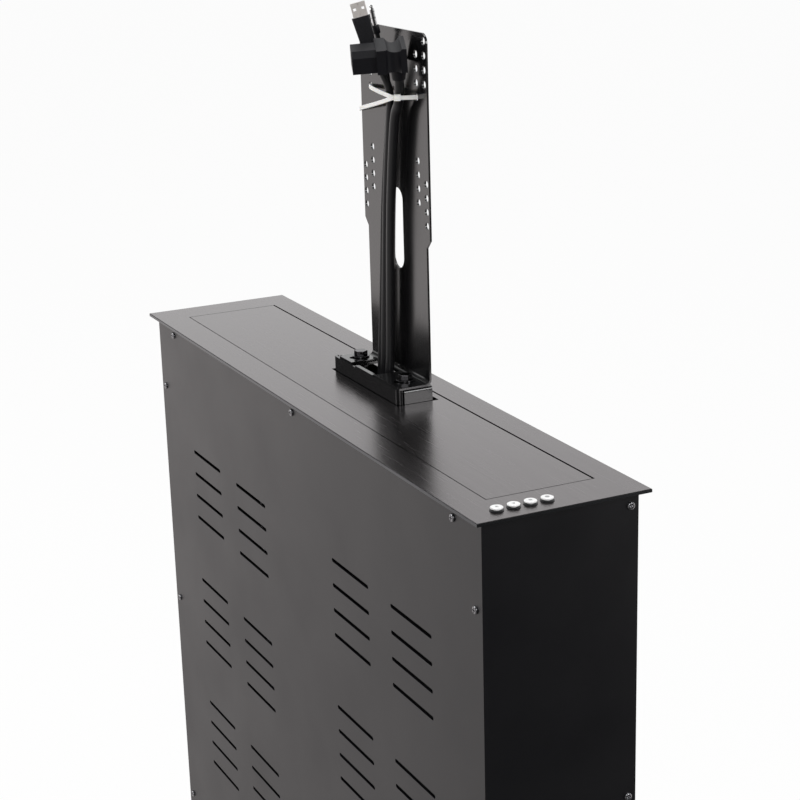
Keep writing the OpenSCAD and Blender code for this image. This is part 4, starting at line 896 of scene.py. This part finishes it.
def strap(name, points):
    """A flat strap that stands on its edge along a curve. A curve that ends where it began is a loop."""
    work = bmesh.new()
    tall, thick = STRAP_MM
    closed = (points[-1] - points[0]).length < WELD_MM * MM
    if closed:
        points = points[:-1]
    previous = [points[-1 if closed else 0], *points[:-1]]
    following = [*points[1:], points[0 if closed else -1]]
    corners = rectangle(thick, tall)
    sections = []
    for before, point, after in zip(previous, points, following):
        outward = (after - before).cross(Vector((0, 0, 1))).normalized()
        sections.append([
            work.verts.new(point + (outward * a + Vector((0, 0, b))) * MM) for a, b in corners
        ])
    skin(work, sections, closed)
    return piece_of(work, name, "natural_nylon", "carriage", rounded=True)


loop_points = [placed((x, y, TIE_UP_MM)) for x, y in LOOP_MM]
tail_points = [placed((x, y, TIE_UP_MM + z)) for x, y, z in TAIL_MM]
loop = strap("cable_tie_loop", curve_through(loop_points, STRAP_STEPS))
tail = strap("cable_tie_tail", curve_through(tail_points, STRAP_STEPS))
print("points in the loop:", len(loop.data.vertices), "and in the tail:", len(tail.data.vertices))

# %% [markdown]
# ## Head of the cable tie
# The strap locks in a small moulded block with a mouth at both ends. A cube is enough for it: an inset
# with a little depth makes the two mouths while it is still one unit long, and a matrix then gives it its
# size, its turn and its place. A soft edge goes round all three pieces of the tie.

# %% Head of the cable tie
HEAD_AT_MM = (45.2, 15.4, 0.4)
HEAD_MM = (5.2, 3.8, 4.5)
HEAD_TURN = math.radians(63)
# In shares of the head's size
HEAD_MOUTH = {"thickness": 0.2, "depth": -0.1}
TIE_EDGE_MM = 0.4

work = bmesh.new()
bmesh.ops.create_cube(work, size=1)
ends = [face for face in work.faces if round(abs(face.normal.x)) == 1]
bmesh.ops.inset_individual(work, faces=ends, **HEAD_MOUTH)
work.transform(
    Matrix.Translation(placed(HEAD_AT_MM) + Vector((0, 0, TIE_UP_MM * MM)))
    @ Matrix.Rotation(HEAD_TURN, 4, "Z") @ Matrix.Diagonal((*(Vector(HEAD_MM) * MM), 1))
)
head = piece_of(work, "cable_tie_head", "natural_nylon", "carriage")
for piece in (loop, tail, head):
    soften(piece, TIE_EDGE_MM)
    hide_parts("cable_tie")
print("head of the tie, size in mm:", HEAD_MM)

# %% [markdown]
# ## Pins of the mains inlet
# Three flat pins stand in the recess of the inlet at the back. They are nickel-plated brass, tapered at the
# tip to guide a connector on. In the construction they are one with the black inlet. A second material on
# its faces would leave the tips blunt, so each pin gets a sleeve round it, a few hundredths of a millimetre
# larger, with the tip added.

# %% Inlet pins
PIN_PLACES_MM = [(-7, -2), (0, 2), (7, -2)]
PIN_MM = (2.08, 4.08)
PIN_EDGE_MM = 0.15
# Depth below the inlet's rim, and share of the full section there
PIN_SECTIONS = [(17.9, 1), (4.95, 1), (4.1, 0.55)]

inlet_low, inlet_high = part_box("power_inlet")
rim_middle = (inlet_low + inlet_high) / 2
rim_middle.y = inlet_high.y
for n, (x, z) in enumerate(PIN_PLACES_MM):
    work = bmesh.new()
    sections = []
    for depth, share in PIN_SECTIONS:
        corners = rectangle(PIN_MM[0] * share, PIN_MM[1] * share)
        sections.append([
            work.verts.new(rim_middle + Vector((x + a, -depth, z + b)) * MM) for a, b in corners
        ])
    skin(work, sections)
    pin = piece_of(work, f"inlet_pin_{n}", "bright_nickel_plate", "case")
    soften(pin, PIN_EDGE_MM)
print("inlet pins:", len(PIN_PLACES_MM))

# %% [markdown]
# ## Marks on the buttons
# Each cap carries a small printed mark with no words: a triangle up, a triangle down, a square and a
# disc. An image could carry the print. A very thin solid that stands a hair proud of the cap was chosen,
# because it stays sharp from near by and goes down with its cap.

# %% Button marks
MARK_MM = 1.5
PRINT_MM = 0.03
# Number of sides, and turn in degrees
MARKS = {"up": (3, 90), "down": (3, 270), "stop": (4, 45), "screen": (24, 0)}

for name, (sides, turned) in MARKS.items():
    cap_low, cap_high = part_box(name + "_button")
    middle = (cap_low + cap_high) / 2
    work = bmesh.new()
    bmesh.ops.create_cone(
        work, cap_ends=True, segments=sides, radius1=MARK_MM * MM, radius2=MARK_MM * MM,
        depth=2 * PRINT_MM * MM,
    )
    work.transform(
        Matrix.Translation((middle.x, middle.y, cap_high.z))
        @ Matrix.Rotation(math.radians(turned), 4, "Z")
    )
    mark = piece_of(work, name + "_mark", "grey_pad_print", name + "_key")
print("marks:", len(MARKS))
